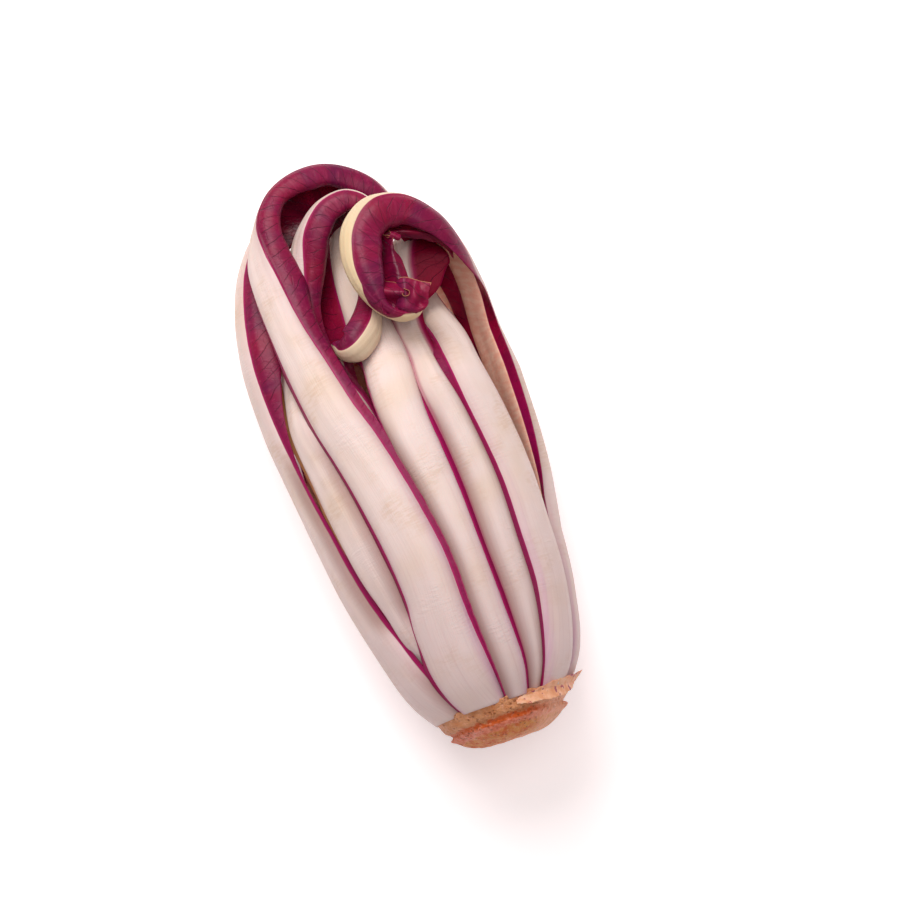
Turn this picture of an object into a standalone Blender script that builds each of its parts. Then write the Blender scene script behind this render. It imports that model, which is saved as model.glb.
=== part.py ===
"""Head of Treviso radicchio (tardivo) lying on its back leaves.

Every leaf is one closed body swept along its own spine: a thick rib, round outside and
nearly flat inside, with a thin blade on each side.  The trimmed root and its torn skin
flap close the foot of the head.

Axes while modelling: Y runs from the cut root to the tips, X is across, Z is up.
Lengths in the tables are millimetres; the finished objects are in metres.
"""
import math

import bmesh
import bpy
import numpy as np
from mathutils import Vector

MM = 0.001
AXIS_HEIGHT = 36.0          # height of the middle of the head in the tables below
LEAF_FOOT = 11.3            # where the leaves start, just above the root collar
TABLE_LEVEL = 1.5           # the back leaves are pressed flat below this height
BLADE_THICKNESS = 0.8       # thin part of a leaf
RIB_OUT = 0.26              # outer bulge of a rib, as a share of its width
RIB_IN = 0.08               # inner bulge of a rib, as a share of its width
CENTRE_SHIFT_X = -0.15       # these two put the origin under the middle of the finished head
CENTRE_SHIFT_Y = -100.05

# Outer shape of the bundle: distance from the foot, middle in x, half width, half height.
BUNDLE = (
    (11.0, 5.0, 21.5, 20.5), (14.0, 5.0, 24.0, 23.0), (20.0, 5.0, 28.0, 26.5),
    (30.0, 5.0, 31.8, 30.5), (40.0, 4.5, 34.5, 33.0), (60.0, 3.2, 38.0, 36.0),
    (80.0, 2.3, 39.7, 37.0), (110.0, 0.7, 41.0, 37.0), (130.0, 0.5, 41.0, 36.0),
    (150.0, 0.5, 40.0, 34.5), (175.0, 0.5, 38.0, 33.0),
)
# Share of the outer shape that each layer of leaves keeps to.
LAYER_SHARE = {1: 1.0, 2: 0.75, 3: 0.51, 4: 0.25}


def at_bundle(y):
    """Middle, half width and half height of the bundle at distance y from the foot."""
    table = np.array(BUNDLE)
    return [float(np.interp(y, table[:, 0], table[:, k])) for k in (1, 2, 3)]


def bulge(width):
    """How far a rib of this width stands out from its own edges."""
    return RIB_OUT * width + 0.2


def body(y, azimuth, tuck, width, left, right, left_turn, right_turn, layer=1):
    """A row of a leaf where it lies in the bundle, placed by its angle round the axis."""
    middle, half_x, half_z = at_bundle(y)
    depth = bulge(width) + tuck
    share = LAYER_SHARE[layer]
    angle = math.radians(azimuth)
    x = middle + (half_x * share - depth) * math.cos(angle)
    z = AXIS_HEIGHT + (half_z * share - depth) * math.sin(angle)
    normal = Vector((math.cos(angle) / half_x, 0.0, math.sin(angle) / half_z)).normalized()
    return (x, y, z, normal.x, 0.0, normal.z, width, left, right, left_turn, right_turn)


def free(x, y, z, nx, ny, nz, width, left, right, left_turn, right_turn):
    """A row of a leaf where it leaves the bundle: a point and its outward direction."""
    return (x, y, z, nx, ny, nz, width, left, right, left_turn, right_turn)


# Columns after the position: rib width, left blade, right blade (mm), and how far each
# blade turns inward (degrees).  Left and right are seen from outside with the tip up.
OUTER_LEFT = (
    body(11.4, 149, 0, 12.7, 0.8, 1, 60, 40), body(20, 153.6, 0, 16.2, 1, 1.2, 60, 40),
    body(40, 159, 0, 17.8, 1.2, 1.4, 60, 35), body(60, 163, 0, 17.2, 1.2, 1.5, 60, 35),
    body(80, 166, 0, 16.5, 1.2, 1.5, 60, 35), body(100, 167, 0, 15.5, 1.2, 1.8, 60, 35),
    free(-38.0, 120, 44, -0.96, 0, 0.28, 13, 2, 3.0, 60, 60),
    free(-38.6, 140, 43.5, -0.96, 0.02, 0.28, 12, 3, 6.5, 60, 75),
    free(-36.2, 160, 40, -0.93, 0.2, 0.3, 11, 4, 8.5, 70, 80),
    free(-31.5, 175, 35.5, -0.86, 0.45, 0.25, 10, 5, 7, 80, 85),
    free(-24.0, 186, 31.5, -0.65, 0.75, 0.12, 9, 5, 6, 85, 90),
    free(-14.0, 192, 28.5, -0.3, 0.95, 0.05, 8.5, 5, 6, 90, 90),
    free(-3.5, 191.5, 27, 0.25, 0.97, 0, 8, 5, 5, 90, 90),
    free(4.5, 186, 27, 0.7, 0.7, 0, 7, 5, 5, 90, 90),
    free(8, 178, 28, 0.97, 0.2, 0, 5, 4, 4, 90, 90),
    free(6, 171.5, 29, 0.9, -0.4, 0, 2.5, 2, 2, 80, 80),
)
FRONT_TALL = (
    body(11.4, 105.5, 0, 13, 0.8, 0.8, 50, 40), body(20, 109, 0, 16.8, 0.9, 1, 50, 35),
    body(40, 109, 0, 18.5, 1.2, 1.2, 50, 30), body(60, 105.5, 0, 17.5, 1.3, 1.4, 40, 30),
    body(80, 108.5, 0, 17, 1.5, 1.5, 40, 30), body(100, 114, 0, 16.5, 2, 2.6, 35, 30),
    body(112, 118, 0, 16.2, 2.2, 3, 35, 35),
    free(-19.8, 128, 62.5, -0.38, 0.02, 0.92, 14.5, 2, 3.8, 35, 40),
    free(-23.3, 146, 60, -0.5, 0.05, 0.86, 12.5, 2, 5, 40, 50),
    free(-25.2, 161, 57.5, -0.62, 0.1, 0.77, 11.5, 3, 7, 50, 55),
    free(-25.4, 172, 55, -0.8, 0.15, 0.5, 11, 5, 6.5, 75, 70),
    free(-22.2, 184, 52.3, -0.87, 0.44, 0.12, 10.5, 9, 5.5, 92, 85),
    free(-15.5, 192.5, 50, -0.6, 0.78, 0.02, 10, 12, 5, 95, 88),
    free(-7, 197.2, 48, -0.2, 0.97, 0.0, 9.5, 12, 5, 95, 88),
    free(3, 198.3, 46, 0.15, 0.98, 0.05, 9, 10, 5, 92, 88),
    free(12.5, 195.2, 43.5, 0.5, 0.85, 0.15, 8.5, 7, 5, 90, 88),
    free(19.5, 189, 41.5, 0.8, 0.58, 0.2, 8, 5, 5, 90, 88),
    free(22.5, 180.5, 39.5, 0.98, 0.1, 0.2, 7, 4, 4.5, 90, 88),
    free(20.5, 173, 38.5, 0.9, -0.4, 0.15, 5, 3, 3, 85, 85),
    free(15.8, 169, 38.5, 0.4, -0.9, 0.1, 2.5, 2, 2, 80, 80),
)
UNDER_LEFT = (
    body(11.4, 133, 5, 3.5, 0.7, 0.7, 60, 60), body(20, 133, 6.6, 4, 0.8, 0.8, 60, 60),
    body(30, 133, 6.8, 5, 0.8, 0.8, 60, 60), body(40, 133, 5, 6, 1, 1, 70, 70),
    body(50, 133.5, 4, 8, 1, 1, 80, 80), body(60, 134, 2.6, 11, 1, 1, 85, 85),
    body(80, 138, 2.0, 13.5, 1, 1, 85, 85), body(100, 142, 2.6, 13.2, 1.3, 1, 80, 85),
    body(115, 145, 2.8, 12, 2, 1, 75, 85),
    free(-26.6, 128, 49.5, -0.65, 0.05, 0.76, 10.5, 3, 1.5, 70, 80),
    free(-25, 142, 45, -0.62, 0.15, 0.77, 9, 4.5, 1.5, 65, 80),
    free(-21, 153, 40.5, -0.5, 0.45, 0.74, 8, 4.5, 1.5, 65, 80),
    free(-15.5, 160, 36.5, -0.15, 0.78, 0.6, 6.5, 3, 1.5, 75, 80),
    free(-10, 161, 33.5, 0.3, 0.9, 0.3, 3.5, 2, 1.5, 80, 80),
)
UNDER_FRONT = (
    body(11.4, 74.5, 0.2, 6.2, 0.7, 0.7, 60, 45), body(20, 75.5, 0.5, 7.8, 0.7, 1, 70, 40),
    body(40, 78.5, 0.7, 9.2, 0.8, 1.2, 80, 30), body(60, 78.5, 0.8, 9.2, 0.7, 1.3, 80, 30),
    body(80, 81, 0.9, 11.3, 0.7, 1.5, 80, 30), body(100, 83.8, 1.0, 13.4, 0.8, 1.5, 80, 30),
    free(3.8, 116, 65.3, 0.05, 0.08, 1, 14, 1, 1.6, 80, 30),
    free(2.8, 127.5, 57.6, 0, 0.35, 0.93, 11.5, 1.5, 1.5, 60, 40),
    free(1.2, 139, 52.2, -0.05, 0.35, 0.93, 10, 3.5, 1.5, 40, 60),
    free(0.8, 150, 48.5, -0.1, 0.25, 0.96, 9, 5.5, 2, 35, 75),
    free(1.8, 163, 47, -0.3, 0.2, 0.93, 8, 5, 2.5, 50, 80),
    free(4.5, 174, 45.5, -0.3, 0.5, 0.8, 7, 4, 3, 70, 80),
    free(9, 179.5, 41, 0.05, 0.9, 0.4, 6, 3, 3, 80, 80),
    free(12.5, 178.5, 36.5, 0.5, 0.86, 0, 4.5, 2.5, 2.5, 80, 80),
    free(13.5, 174.5, 33.5, 0.8, 0.3, -0.5, 2.5, 1.5, 1.5, 80, 80),
)
UNDER_RIGHT = (
    body(11.4, 56, 2, 3.2, 0.6, 0.6, 60, 60), body(20, 56.5, 1.7, 5, 0.7, 0.7, 70, 70),
    body(30, 57, 1.5, 7.7, 0.7, 0.7, 80, 80), body(40, 56.8, 1.4, 10, 0.7, 0.7, 80, 80),
    body(60, 57.8, 1.4, 11.7, 0.7, 0.7, 80, 80), body(80, 58.4, 1.4, 11.9, 0.7, 0.7, 80, 80),
    body(100, 60.3, 1.4, 11, 0.7, 0.7, 80, 80), body(112, 62.4, 1.6, 9.6, 0.8, 0.8, 80, 80),
    free(16.2, 126, 58.2, 0.35, 0.3, 0.88, 9, 1, 1.5, 80, 80),
    free(15.6, 138, 52.5, 0.1, 0.3, 0.95, 8, 1.2, 3, 80, 60),
    free(15.4, 149, 50.5, -0.55, 0.2, 0.8, 7.5, 3, 5, 80, 65),
    free(18, 158.5, 49.5, -0.7, 0.45, 0.55, 7, 4, 7, 80, 80),
    free(23.5, 164, 48.5, -0.1, 0.9, 0.4, 6.5, 4, 7, 80, 85),
    free(27.8, 162.3, 46, 0.65, 0.7, 0.3, 5.5, 3, 6, 80, 85),
    free(29, 156.5, 45, 0.95, 0.05, 0.2, 4.5, 3, 4, 80, 85),
    free(27.5, 151.5, 45.5, 0.6, -0.8, 0.1, 2.5, 2, 2, 80, 80),
)
RIGHT_FRONT = (
    body(11.4, 33, 0, 8.5, 0.7, 0.7, 45, 60), body(20, 31.5, 0, 12.4, 0.8, 0.7, 40, 70),
    body(30, 30, 0.1, 14.7, 1, 0.7, 35, 80), body(40, 28.4, 0.1, 16, 1.1, 0.7, 32, 80),
    body(60, 30, 0.2, 16.6, 1.3, 0.7, 30, 80), body(80, 31.3, 0.2, 16.4, 1.3, 0.8, 30, 80),
    body(100, 34.3, 0.4, 13.8, 1.6, 0.8, 30, 80),
    free(28.9, 117, 56.2, 0.65, 0.1, 0.74, 12, 1.8, 1.0, 32, 80),
    free(27.9, 129, 50.8, 0.5, 0.3, 0.8, 9.4, 1.8, 1.2, 35, 80),
    free(25.4, 139, 46, 0.3, 0.4, 0.86, 9, 2, 2, 50, 80),
    free(24, 149, 41, 0.3, 0.4, 0.86, 8, 2, 2, 60, 80),
    free(22, 158, 37, 0.3, 0.55, 0.78, 7, 2, 2, 70, 80),
    free(19, 164.5, 34, 0.2, 0.85, 0.5, 6, 2, 2, 80, 80),
    free(15.5, 167, 31.5, 0.1, 1, 0.2, 3.5, 1.5, 1.5, 80, 80),
)
RIGHT_HOOK = (
    body(11.4, -5, 0, 9.6, 0.8, 0.7, 40, 60), body(20, -6.5, 0, 13, 1, 0.8, 35, 60),
    body(40, -6.8, 0, 16, 1.1, 0.8, 30, 60), body(60, -7, 0, 17, 1.5, 0.8, 25, 60),
    body(80, -9, 0, 17, 2, 1, 15, 60), body(98, -12, 0.5, 16, 3, 1, 5, 60),
    free(37.2, 115, 35.5, 0.91, 0, -0.42, 14.5, 4, 1.5, 0, 60),
    free(37.8, 130, 38.8, 0.9, 0.08, -0.42, 13.5, 4.5, 3, 5, 75),
    free(38, 144, 46, 0.85, 0.2, -0.42, 12.5, 5.5, 5, 30, 80),
    free(36.2, 156.5, 54.5, 0.8, 0.45, -0.38, 11.5, 8, 5, 70, 80),
    free(31.8, 167, 62, 0.62, 0.75, -0.2, 10.5, 10.5, 7, 85, 80),
    free(24.5, 173.8, 67, 0.3, 0.95, 0.05, 9.5, 11.5, 8, 90, 85),
    free(15, 174.3, 71, -0.35, 0.9, 0.25, 9, 11, 9, 90, 98),
    free(7.2, 168, 73, -0.8, 0.45, 0.33, 8.5, 9, 10.5, 90, 105),
    free(4, 158, 74, -0.92, -0.05, 0.33, 8, 7, 12.5, 90, 108),
    free(4.8, 147.5, 74, -0.85, -0.4, 0.3, 7, 5.5, 12.5, 90, 108),
    free(9.3, 139.8, 73.5, -0.45, -0.88, 0.2, 6, 4.5, 10, 90, 105),
    free(16.2, 136.4, 72.5, 0.15, -0.95, 0.2, 5, 5, 7, 90, 88),
    free(21.8, 138.6, 71.5, 0.8, -0.6, 0.1, 3.8, 3.5, 4, 90, 88),
    free(23.8, 143.5, 70.5, 0.97, 0.1, 0.1, 2, 1.5, 1.5, 80, 80),
)
LOOP = (
    body(11.4, 100, 0, 7, 0.7, 0.7, 60, 60, 2), body(20, 102, 0, 8.5, 0.8, 0.8, 60, 60, 2),
    body(40, 103, 0.5, 10, 1, 1, 60, 60, 2), body(80, 106, 0.5, 10, 1.5, 1.5, 60, 60, 2),
    free(-10.5, 115, 54, -0.3, 0, 0.95, 10, 2, 2, 60, 60),
    free(-13.5, 135, 53, -0.5, 0, 0.86, 9.5, 3, 3.5, 65, 65),
    free(-15, 152, 52.8, -0.75, 0.05, 0.65, 9, 4, 5.5, 80, 75),
    free(-13.3, 166, 54.5, -0.85, 0.25, 0.45, 8.5, 6, 6.5, 85, 80),
    free(-7.8, 177.3, 56.7, -0.65, 0.7, 0.35, 8.2, 6, 6, 88, 85),
    free(1.2, 183.8, 57.3, -0.15, 0.93, 0.35, 8, 5.5, 5, 90, 88),
    free(9.6, 184.4, 56.8, 0.25, 0.93, 0.3, 7.6, 5, 5, 90, 88),
    free(15.2, 180, 56.3, 0.8, 0.55, 0.2, 7.3, 5, 5, 90, 88),
    free(16.4, 171.5, 54.8, 0.98, -0.1, 0.1, 7, 4.5, 5, 90, 88),
    free(13.2, 161.5, 54.8, 0.95, -0.3, 0, 7, 4, 5, 88, 88),
    free(9.3, 151.5, 56.8, 0.93, -0.35, 0.1, 7, 4, 5, 85, 85),
    free(6.3, 142, 61, 0.85, -0.4, 0.35, 7.6, 4, 4.5, 80, 80),
    free(2.6, 134, 66, 0.55, -0.6, 0.58, 8.2, 4, 4.5, 75, 75),
    free(-3, 130, 67, -0.05, -0.8, 0.6, 7.6, 4, 4.2, 75, 75),
    free(-7.8, 131.8, 62.3, -0.55, -0.7, 0.45, 5.5, 3, 3.5, 80, 80),
    free(-10.3, 137, 58.5, -0.95, 0, 0.3, 2.5, 1.5, 2, 80, 80),
)
INNER_FACE_LEFT = (
    body(11.4, 189, 0, 9.5, 0.8, 0.8, 60, 50), body(20, 193, 0, 11.6, 0.7, 0.8, 60, 60),
    body(40, 196, 0, 14.8, 0.7, 0.9, 60, 60), body(60, 197, 0, 16, 1, 1, 60, 50),
    body(80, 199.5, 0.5, 15.5, 1, 1, 60, 50),
    free(-30.8, 100, 23.5, -0.88, 0, -0.46, 14.5, 1.5, 1.5, 60, 40),
    free(-30, 120, 22.5, -0.87, 0, -0.48, 13, 2.5, 2, 60, 30),
    free(-29.7, 140, 22.8, -0.86, 0.1, -0.48, 11, 3.5, 3, 70, 40),
    free(-27.7, 156, 23, -0.84, 0.35, -0.4, 9.5, 4.2, 4, 80, 60),
    free(-22.7, 168, 22, -0.65, 0.7, -0.25, 8, 4.5, 4, 80, 80),
    free(-16, 173.5, 21.5, -0.1, 0.98, -0.1, 7, 4, 4, 85, 85),
    free(-10.5, 171.5, 23.5, 0.6, 0.8, 0, 5, 3.5, 3, 85, 85),
    free(-8.5, 166.5, 25, 0.95, 0.3, 0, 2.8, 2, 2, 80, 80),
)


def curled(azimuths, widths, start, radius, turn, reach, layer=1, tuck=0.0, rows_y=None):
    """A plain leaf that follows the bundle and then curls toward the middle of the head."""
    rows_y = rows_y or (11.4, 20, 40, 60, 80, 110, 135)
    rows = []
    for y in rows_y:
        if y > start - 8:
            break
        azimuth = float(np.interp(y, (11.4, 60, start), azimuths))
        width = float(np.interp(y, (11.4, 40, 80, start), widths))
        margin = float(np.interp(y, (11.4, 90, start), (0.7, 1.2, reach * 0.8)))
        rows.append(body(y, azimuth, tuck, width, margin, margin, 60, 60, layer))
    first = body(start, azimuths[-1], tuck, widths[-1], 1, 1, 0, 0, layer)
    outward = Vector(first[3:6])
    spine = Vector(first[0:3])
    steps = 5
    for step in range(steps + 1):
        share = step / steps
        angle = math.radians(turn) * share
        point = spine + Vector((0, 1, 0)) * radius * math.sin(angle)
        point -= outward * radius * (1 - math.cos(angle))
        normal = outward * math.cos(angle) + Vector((0, 1, 0)) * math.sin(angle)
        width = widths[-1] * (1 - 0.72 * share ** 1.5)
        blade = reach * (1 - 0.6 * share ** 2)
        rows.append(free(*point, *normal, width, blade, blade, 75, 75))
    return tuple(rows)


LEAVES = (
    ("outer_leaf_left", OUTER_LEFT, 24, True),
    ("outer_leaf_front", FRONT_TALL, 29, True),
    ("under_leaf_left", UNDER_LEFT, 18, True),
    ("front_leaf_middle", UNDER_FRONT, 20, True),
    ("front_leaf_right", UNDER_RIGHT, 22, True),
    ("outer_leaf_right_front", RIGHT_FRONT, 18, True),
    ("outer_leaf_right_hook", RIGHT_HOOK, 30, True),
    ("looped_leaf", LOOP, 32, True),
    ("outer_leaf_left_low", INNER_FACE_LEFT, 19, True),
    ("back_leaf_left", curled((222, 229, 234), (7.6, 13, 12.8, 8), 134, 9, 185, 3.8), 17, True),
    ("back_leaf_middle_left", curled((251.5, 257.5, 258), (8.2, 14, 14, 11), 166, 8, 190, 4.5), 17, True),
    ("back_leaf_middle_right", curled((284, 286.5, 286.5), (8.5, 14.2, 14, 10.5), 152, 9, 185, 4.5), 17, True),
    ("back_leaf_right", curled((319, 318, 315.5), (8.5, 14.8, 14, 11), 158, 8, 190, 4.5), 17, True),
    ("second_leaf_left", curled((160, 172, 174), (6, 10, 10, 9), 128, 5, 170, 3, 2), 12, False),
    ("second_leaf_low_left", curled((212, 215, 215), (6, 10, 10, 9), 128, 5, 170, 3, 2), 12, False),
    ("second_leaf_low", curled((262, 262, 262), (6, 10, 10, 9), 136, 5, 170, 3, 2), 12, False),
    ("second_leaf_low_right", curled((308, 305, 305), (6, 10, 10, 9), 145, 5, 170, 3, 2), 12, False),
    ("second_leaf_right", curled((0, -8, -10), (6, 10, 10, 9), 138, 5, 170, 3, 2), 12, False),
    ("inner_leaf_front", curled((120, 127, 130), (5, 8, 8, 7), 131, 5, 150, 3, 3), 11, False),
    ("inner_leaf_left", curled((205, 205, 205), (5, 8, 8, 7), 114, 5, 150, 3, 3), 11, False),
    ("inner_leaf_back", curled((285, 285, 285), (5, 8, 8, 7), 126, 5, 150, 3, 3), 11, False),
    ("inner_leaf_right", curled((15, 15, 15), (5, 8, 8, 7), 132, 5, 150, 3, 3), 11, False),
    ("heart_leaf_front", curled((70, 70, 70), (3.5, 6, 6, 5), 128, 4, 120, 2.5, 4), 9, False),
    ("heart_leaf_back", curled((250, 250, 250), (3.5, 6, 6, 5), 120, 4, 120, 2.5, 4), 9, False),
)


def smooth_rows(rows, samples):
    """Samples a leaf's rows along a smooth curve; more samples where the leaf bends."""
    table = np.array(rows, dtype=float)
    gaps = np.linalg.norm(np.diff(table[:, :3], axis=0), axis=1)
    at = np.concatenate([[0.0], np.cumsum(gaps)])
    slope = np.gradient(table, at, axis=0)
    fine = np.linspace(0.0, at[-1], 600)
    dense = hermite(at, table, slope, fine)
    heading = np.gradient(dense[:, :3], fine, axis=0)
    heading /= np.linalg.norm(heading, axis=1)[:, None]
    bend = np.linalg.norm(np.gradient(heading, fine, axis=0), axis=1)
    effort = np.concatenate([[0.0], np.cumsum((1.0 + 16.0 * bend)[1:] * np.diff(fine))])
    wanted = np.interp(np.linspace(0.0, effort[-1], samples), effort, fine)
    return hermite(at, table, slope, wanted)


def hermite(at, values, slopes, wanted):
    """Cubic curve through the values with the given slopes."""
    slot = np.clip(np.searchsorted(at, wanted, side="right") - 1, 0, len(at) - 2)
    span = at[slot + 1] - at[slot]
    t = ((wanted - at[slot]) / span)[:, None]
    span = span[:, None]
    start, end = values[slot], values[slot + 1]
    rise = (2 * t ** 3 - 3 * t ** 2 + 1) * start + (-2 * t ** 3 + 3 * t ** 2) * end
    lean = (t ** 3 - 2 * t ** 2 + t) * span * slopes[slot] + (t ** 3 - t ** 2) * span * slopes[slot + 1]
    return rise + lean


def frames(samples):
    """Spine points with their tangent, outward and sideways directions."""
    points = samples[:, :3]
    tangent = np.gradient(points, axis=0)
    tangent /= np.linalg.norm(tangent, axis=1)[:, None]
    outward = samples[:, 3:6]
    outward = outward - tangent * np.sum(outward * tangent, axis=1)[:, None]
    outward /= np.linalg.norm(outward, axis=1)[:, None]
    sideways = np.cross(tangent, outward)
    return points, outward, sideways


def blade_line(start, length, turn, side):
    """Middle line of one blade in the cross-section: two straight parts bending inward."""
    line = [start]
    for part in (0.5, 1.0):
        angle = math.radians(turn * part)
        q, h = line[-1]
        line.append((q + side * math.cos(angle) * length / 2, h - math.sin(angle) * length / 2))
    return line


def section(width, left, right, left_turn, right_turn, wide):
    """Outer and inner points of a cross-section, paired from the left margin to the right."""
    half = width / 2
    shares = (-0.62, 0.0, 0.62) if wide else (0.0,)
    top, under = bulge(width), RIB_IN * width
    outer = [(half * f, top * math.sqrt(1 - f * f)) for f in shares]
    inner = [(half * f, -under * math.sqrt(1 - f * f) - BLADE_THICKNESS / 2) for f in shares]
    for side, length, turn in ((-1, left, left_turn), (1, right, right_turn)):
        line = blade_line((side * half, 0.0), max(length, 0.5), turn, side)
        above, below = offset(line, turn, side)
        if side < 0:
            outer = above[::-1] + outer
            inner = below[::-1] + inner
        else:
            outer = outer + above
            inner = inner + below
    return outer, inner


def offset(line, turn, side):
    """The two faces of a blade, half a thickness to each side of its middle line."""
    above, below = [], []
    for index, (q, h) in enumerate(line):
        angle = math.radians(turn * (0.25, 0.75, 1.0)[index])
        half = BLADE_THICKNESS / 2 * (1.0, 1.0, 0.7)[index]
        lean = (side * math.sin(angle) * half, math.cos(angle) * half)
        above.append((q + lean[0], h + lean[1]))
        below.append((q - lean[0], h - lean[1]))
    return above, below


def leaf_mesh(rows, stations, wide):
    """Vertices and faces of one leaf."""
    samples = smooth_rows(rows, stations)
    samples[:, 6] = np.maximum(samples[:, 6], 2.0)
    points, outward, sideways = frames(samples)
    verts, faces = [], []
    pairs = 0
    for k in range(stations):
        outer, inner = section(*samples[k, 6:11], wide)
        pairs = len(outer)
        for q, h in outer + inner[::-1]:
            spot = points[k] + sideways[k] * q + outward[k] * h
            verts.append((spot[0], max(spot[1], LEAF_FOOT), max(spot[2], TABLE_LEVEL)))
    ring = 2 * pairs
    for k in range(stations - 1):
        for j in range(ring):
            nxt = (j + 1) % ring
            a, b = k * ring + j, k * ring + nxt
            faces.append((a, b, b + ring, a + ring))
    last = (stations - 1) * ring
    for j in range(pairs - 1):
        a, b = j, ring - 1 - j
        faces.append((a, b, b - 1, a + 1))
        faces.append((last + a, last + a + 1, last + b - 1, last + b))
    return verts, faces


def material(name, colour, roughness):
    """A plain Principled material."""
    made = bpy.data.materials.new(name)
    made.use_nodes = True
    shader = made.node_tree.nodes["Principled BSDF"]
    shader.inputs["Base Color"].default_value = (*colour, 1.0)
    shader.inputs["Roughness"].default_value = roughness
    return made


def add_object(name, verts, faces, made):
    """Adds one closed body, in metres, moved so the origin is under its middle."""
    mesh = bpy.data.meshes.new(name)
    moved = [((x + CENTRE_SHIFT_X) * MM, (y + CENTRE_SHIFT_Y) * MM, (z - TABLE_LEVEL) * MM) for x, y, z in verts]
    mesh.from_pydata(moved, [], faces)
    shell = bmesh.new()
    shell.from_mesh(mesh)
    bmesh.ops.triangulate(shell, faces=shell.faces)
    bmesh.ops.recalc_face_normals(shell, faces=shell.faces)
    shell.to_mesh(mesh)
    shell.free()
    mesh.materials.append(made)
    placed = bpy.data.objects.new(name, mesh)
    bpy.context.scene.collection.objects.link(placed)
    return placed


# Rings of the trimmed root: distance from the cut end, share of the collar, lumpiness.
ROOT_RINGS = (
    (0.0, 0.30, 0.02), (0.4, 0.52, 0.05), (1.6, 0.66, 0.06), (3.6, 0.78, 0.05),
    (5.0, 0.86, 0.03), (6.6, 0.88, 0.02), (8.0, 0.93, 0.02), (10.2, 0.97, 0.01), (11.0, 0.94, 0.0),
)
ROOT_SIDES = 28
ROOT_HALF_X = 22.0
ROOT_HALF_Z = 20.5


def root_mesh():
    """The trimmed root: a short knobbly stub, widest at its collar."""
    verts, faces = [], []
    for ring, (y, share, lump) in enumerate(ROOT_RINGS):
        for side in range(ROOT_SIDES):
            angle = 2 * math.pi * side / ROOT_SIDES
            wobble = 1 + lump * math.sin(3 * angle + ring) + lump * math.sin(7 * angle + 2 * ring)
            x = 5.0 + ROOT_HALF_X * share * wobble * math.cos(angle)
            z = AXIS_HEIGHT + ROOT_HALF_Z * share * wobble * math.sin(angle)
            tilt = 0.8 * (1 - y / 11.0) * math.cos(angle)
            verts.append((x, y + tilt, z))
    rings = len(ROOT_RINGS)
    for ring in range(rings - 1):
        for side in range(ROOT_SIDES):
            nxt = (side + 1) % ROOT_SIDES
            a, b = ring * ROOT_SIDES + side, ring * ROOT_SIDES + nxt
            faces.append((a, b, b + ROOT_SIDES, a + ROOT_SIDES))
    verts.append((5.0, 0.0, AXIS_HEIGHT))
    verts.append((5.0, 11.0, AXIS_HEIGHT))
    low, high = len(verts) - 2, len(verts) - 1
    top = (rings - 1) * ROOT_SIDES
    for side in range(ROOT_SIDES):
        nxt = (side + 1) % ROOT_SIDES
        faces.append((low, nxt, side))
        faces.append((high, top + side, top + nxt))
    return verts, faces


# The torn skin on the collar: angle round the root, lowest and highest y, stand-off.
FLAP = (
    (74.0, 8.6, 10.2, 0.5), (62.0, 7.8, 10.7, 0.6), (48.0, 7.6, 10.9, 0.7), (34.0, 7.2, 11.0, 0.8),
    (20.0, 7.6, 11.2, 1.0), (10.0, 7.4, 11.2, 1.5), (2.0, 8.4, 11.0, 2.3), (-3.0, 9.8, 10.7, 3.0),
)
FLAP_THICKNESS = 0.7


def flap_mesh():
    """The torn skin flap: a thin strip that follows the collar and lifts at one end."""
    verts, faces = [], []
    for azimuth, low, high, gap in FLAP:
        angle = math.radians(azimuth)
        for y, out in ((low, 0.0), (high, 0.0), (high, FLAP_THICKNESS), (low, FLAP_THICKNESS)):
            reach = gap + out
            x = 5.0 + (ROOT_HALF_X * 0.99 + reach) * math.cos(angle)
            z = AXIS_HEIGHT + (ROOT_HALF_Z * 0.99 + reach) * math.sin(angle)
            verts.append((x, y, z))
    for k in range(len(FLAP) - 1):
        for j in range(4):
            a, b = 4 * k + j, 4 * k + (j + 1) % 4
            faces.append((a, b, b + 4, a + 4))
    last = 4 * (len(FLAP) - 1)
    faces.append((0, 3, 2, 1))
    faces.append((last, last + 1, last + 2, last + 3))
    return verts, faces


def build():
    """Clears the scene and adds every piece of the head."""
    for old in list(bpy.data.objects):
        bpy.data.objects.remove(old)
    for name, rows, stations, wide in LEAVES:
        verts, faces = leaf_mesh(rows, stations, wide)
        add_object(name, verts, faces, material(name + "_skin", (0.86, 0.76, 0.74), 0.45))
    verts, faces = flap_mesh()
    add_object("collar_flap", verts, faces, material("flap_skin", (0.78, 0.52, 0.34), 0.6))
    verts, faces = root_mesh()
    add_object("trimmed_root", verts, faces, material("root_skin", (0.62, 0.36, 0.2), 0.7))


build()
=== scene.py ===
"""Looks for the radicchio head: detailed leaves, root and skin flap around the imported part."""
import math
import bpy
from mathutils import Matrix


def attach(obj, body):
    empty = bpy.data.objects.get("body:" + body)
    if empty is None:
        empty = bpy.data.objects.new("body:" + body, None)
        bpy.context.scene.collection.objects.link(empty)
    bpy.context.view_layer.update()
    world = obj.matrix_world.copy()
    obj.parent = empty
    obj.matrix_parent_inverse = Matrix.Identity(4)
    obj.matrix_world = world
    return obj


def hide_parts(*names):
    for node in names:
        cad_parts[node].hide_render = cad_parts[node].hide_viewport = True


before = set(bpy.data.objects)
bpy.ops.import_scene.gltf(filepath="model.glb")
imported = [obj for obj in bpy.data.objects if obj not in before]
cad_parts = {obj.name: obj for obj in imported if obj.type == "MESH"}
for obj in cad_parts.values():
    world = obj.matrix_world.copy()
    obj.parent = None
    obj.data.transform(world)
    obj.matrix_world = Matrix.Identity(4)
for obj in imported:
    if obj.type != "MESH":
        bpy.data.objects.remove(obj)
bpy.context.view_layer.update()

from types import SimpleNamespace

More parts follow.
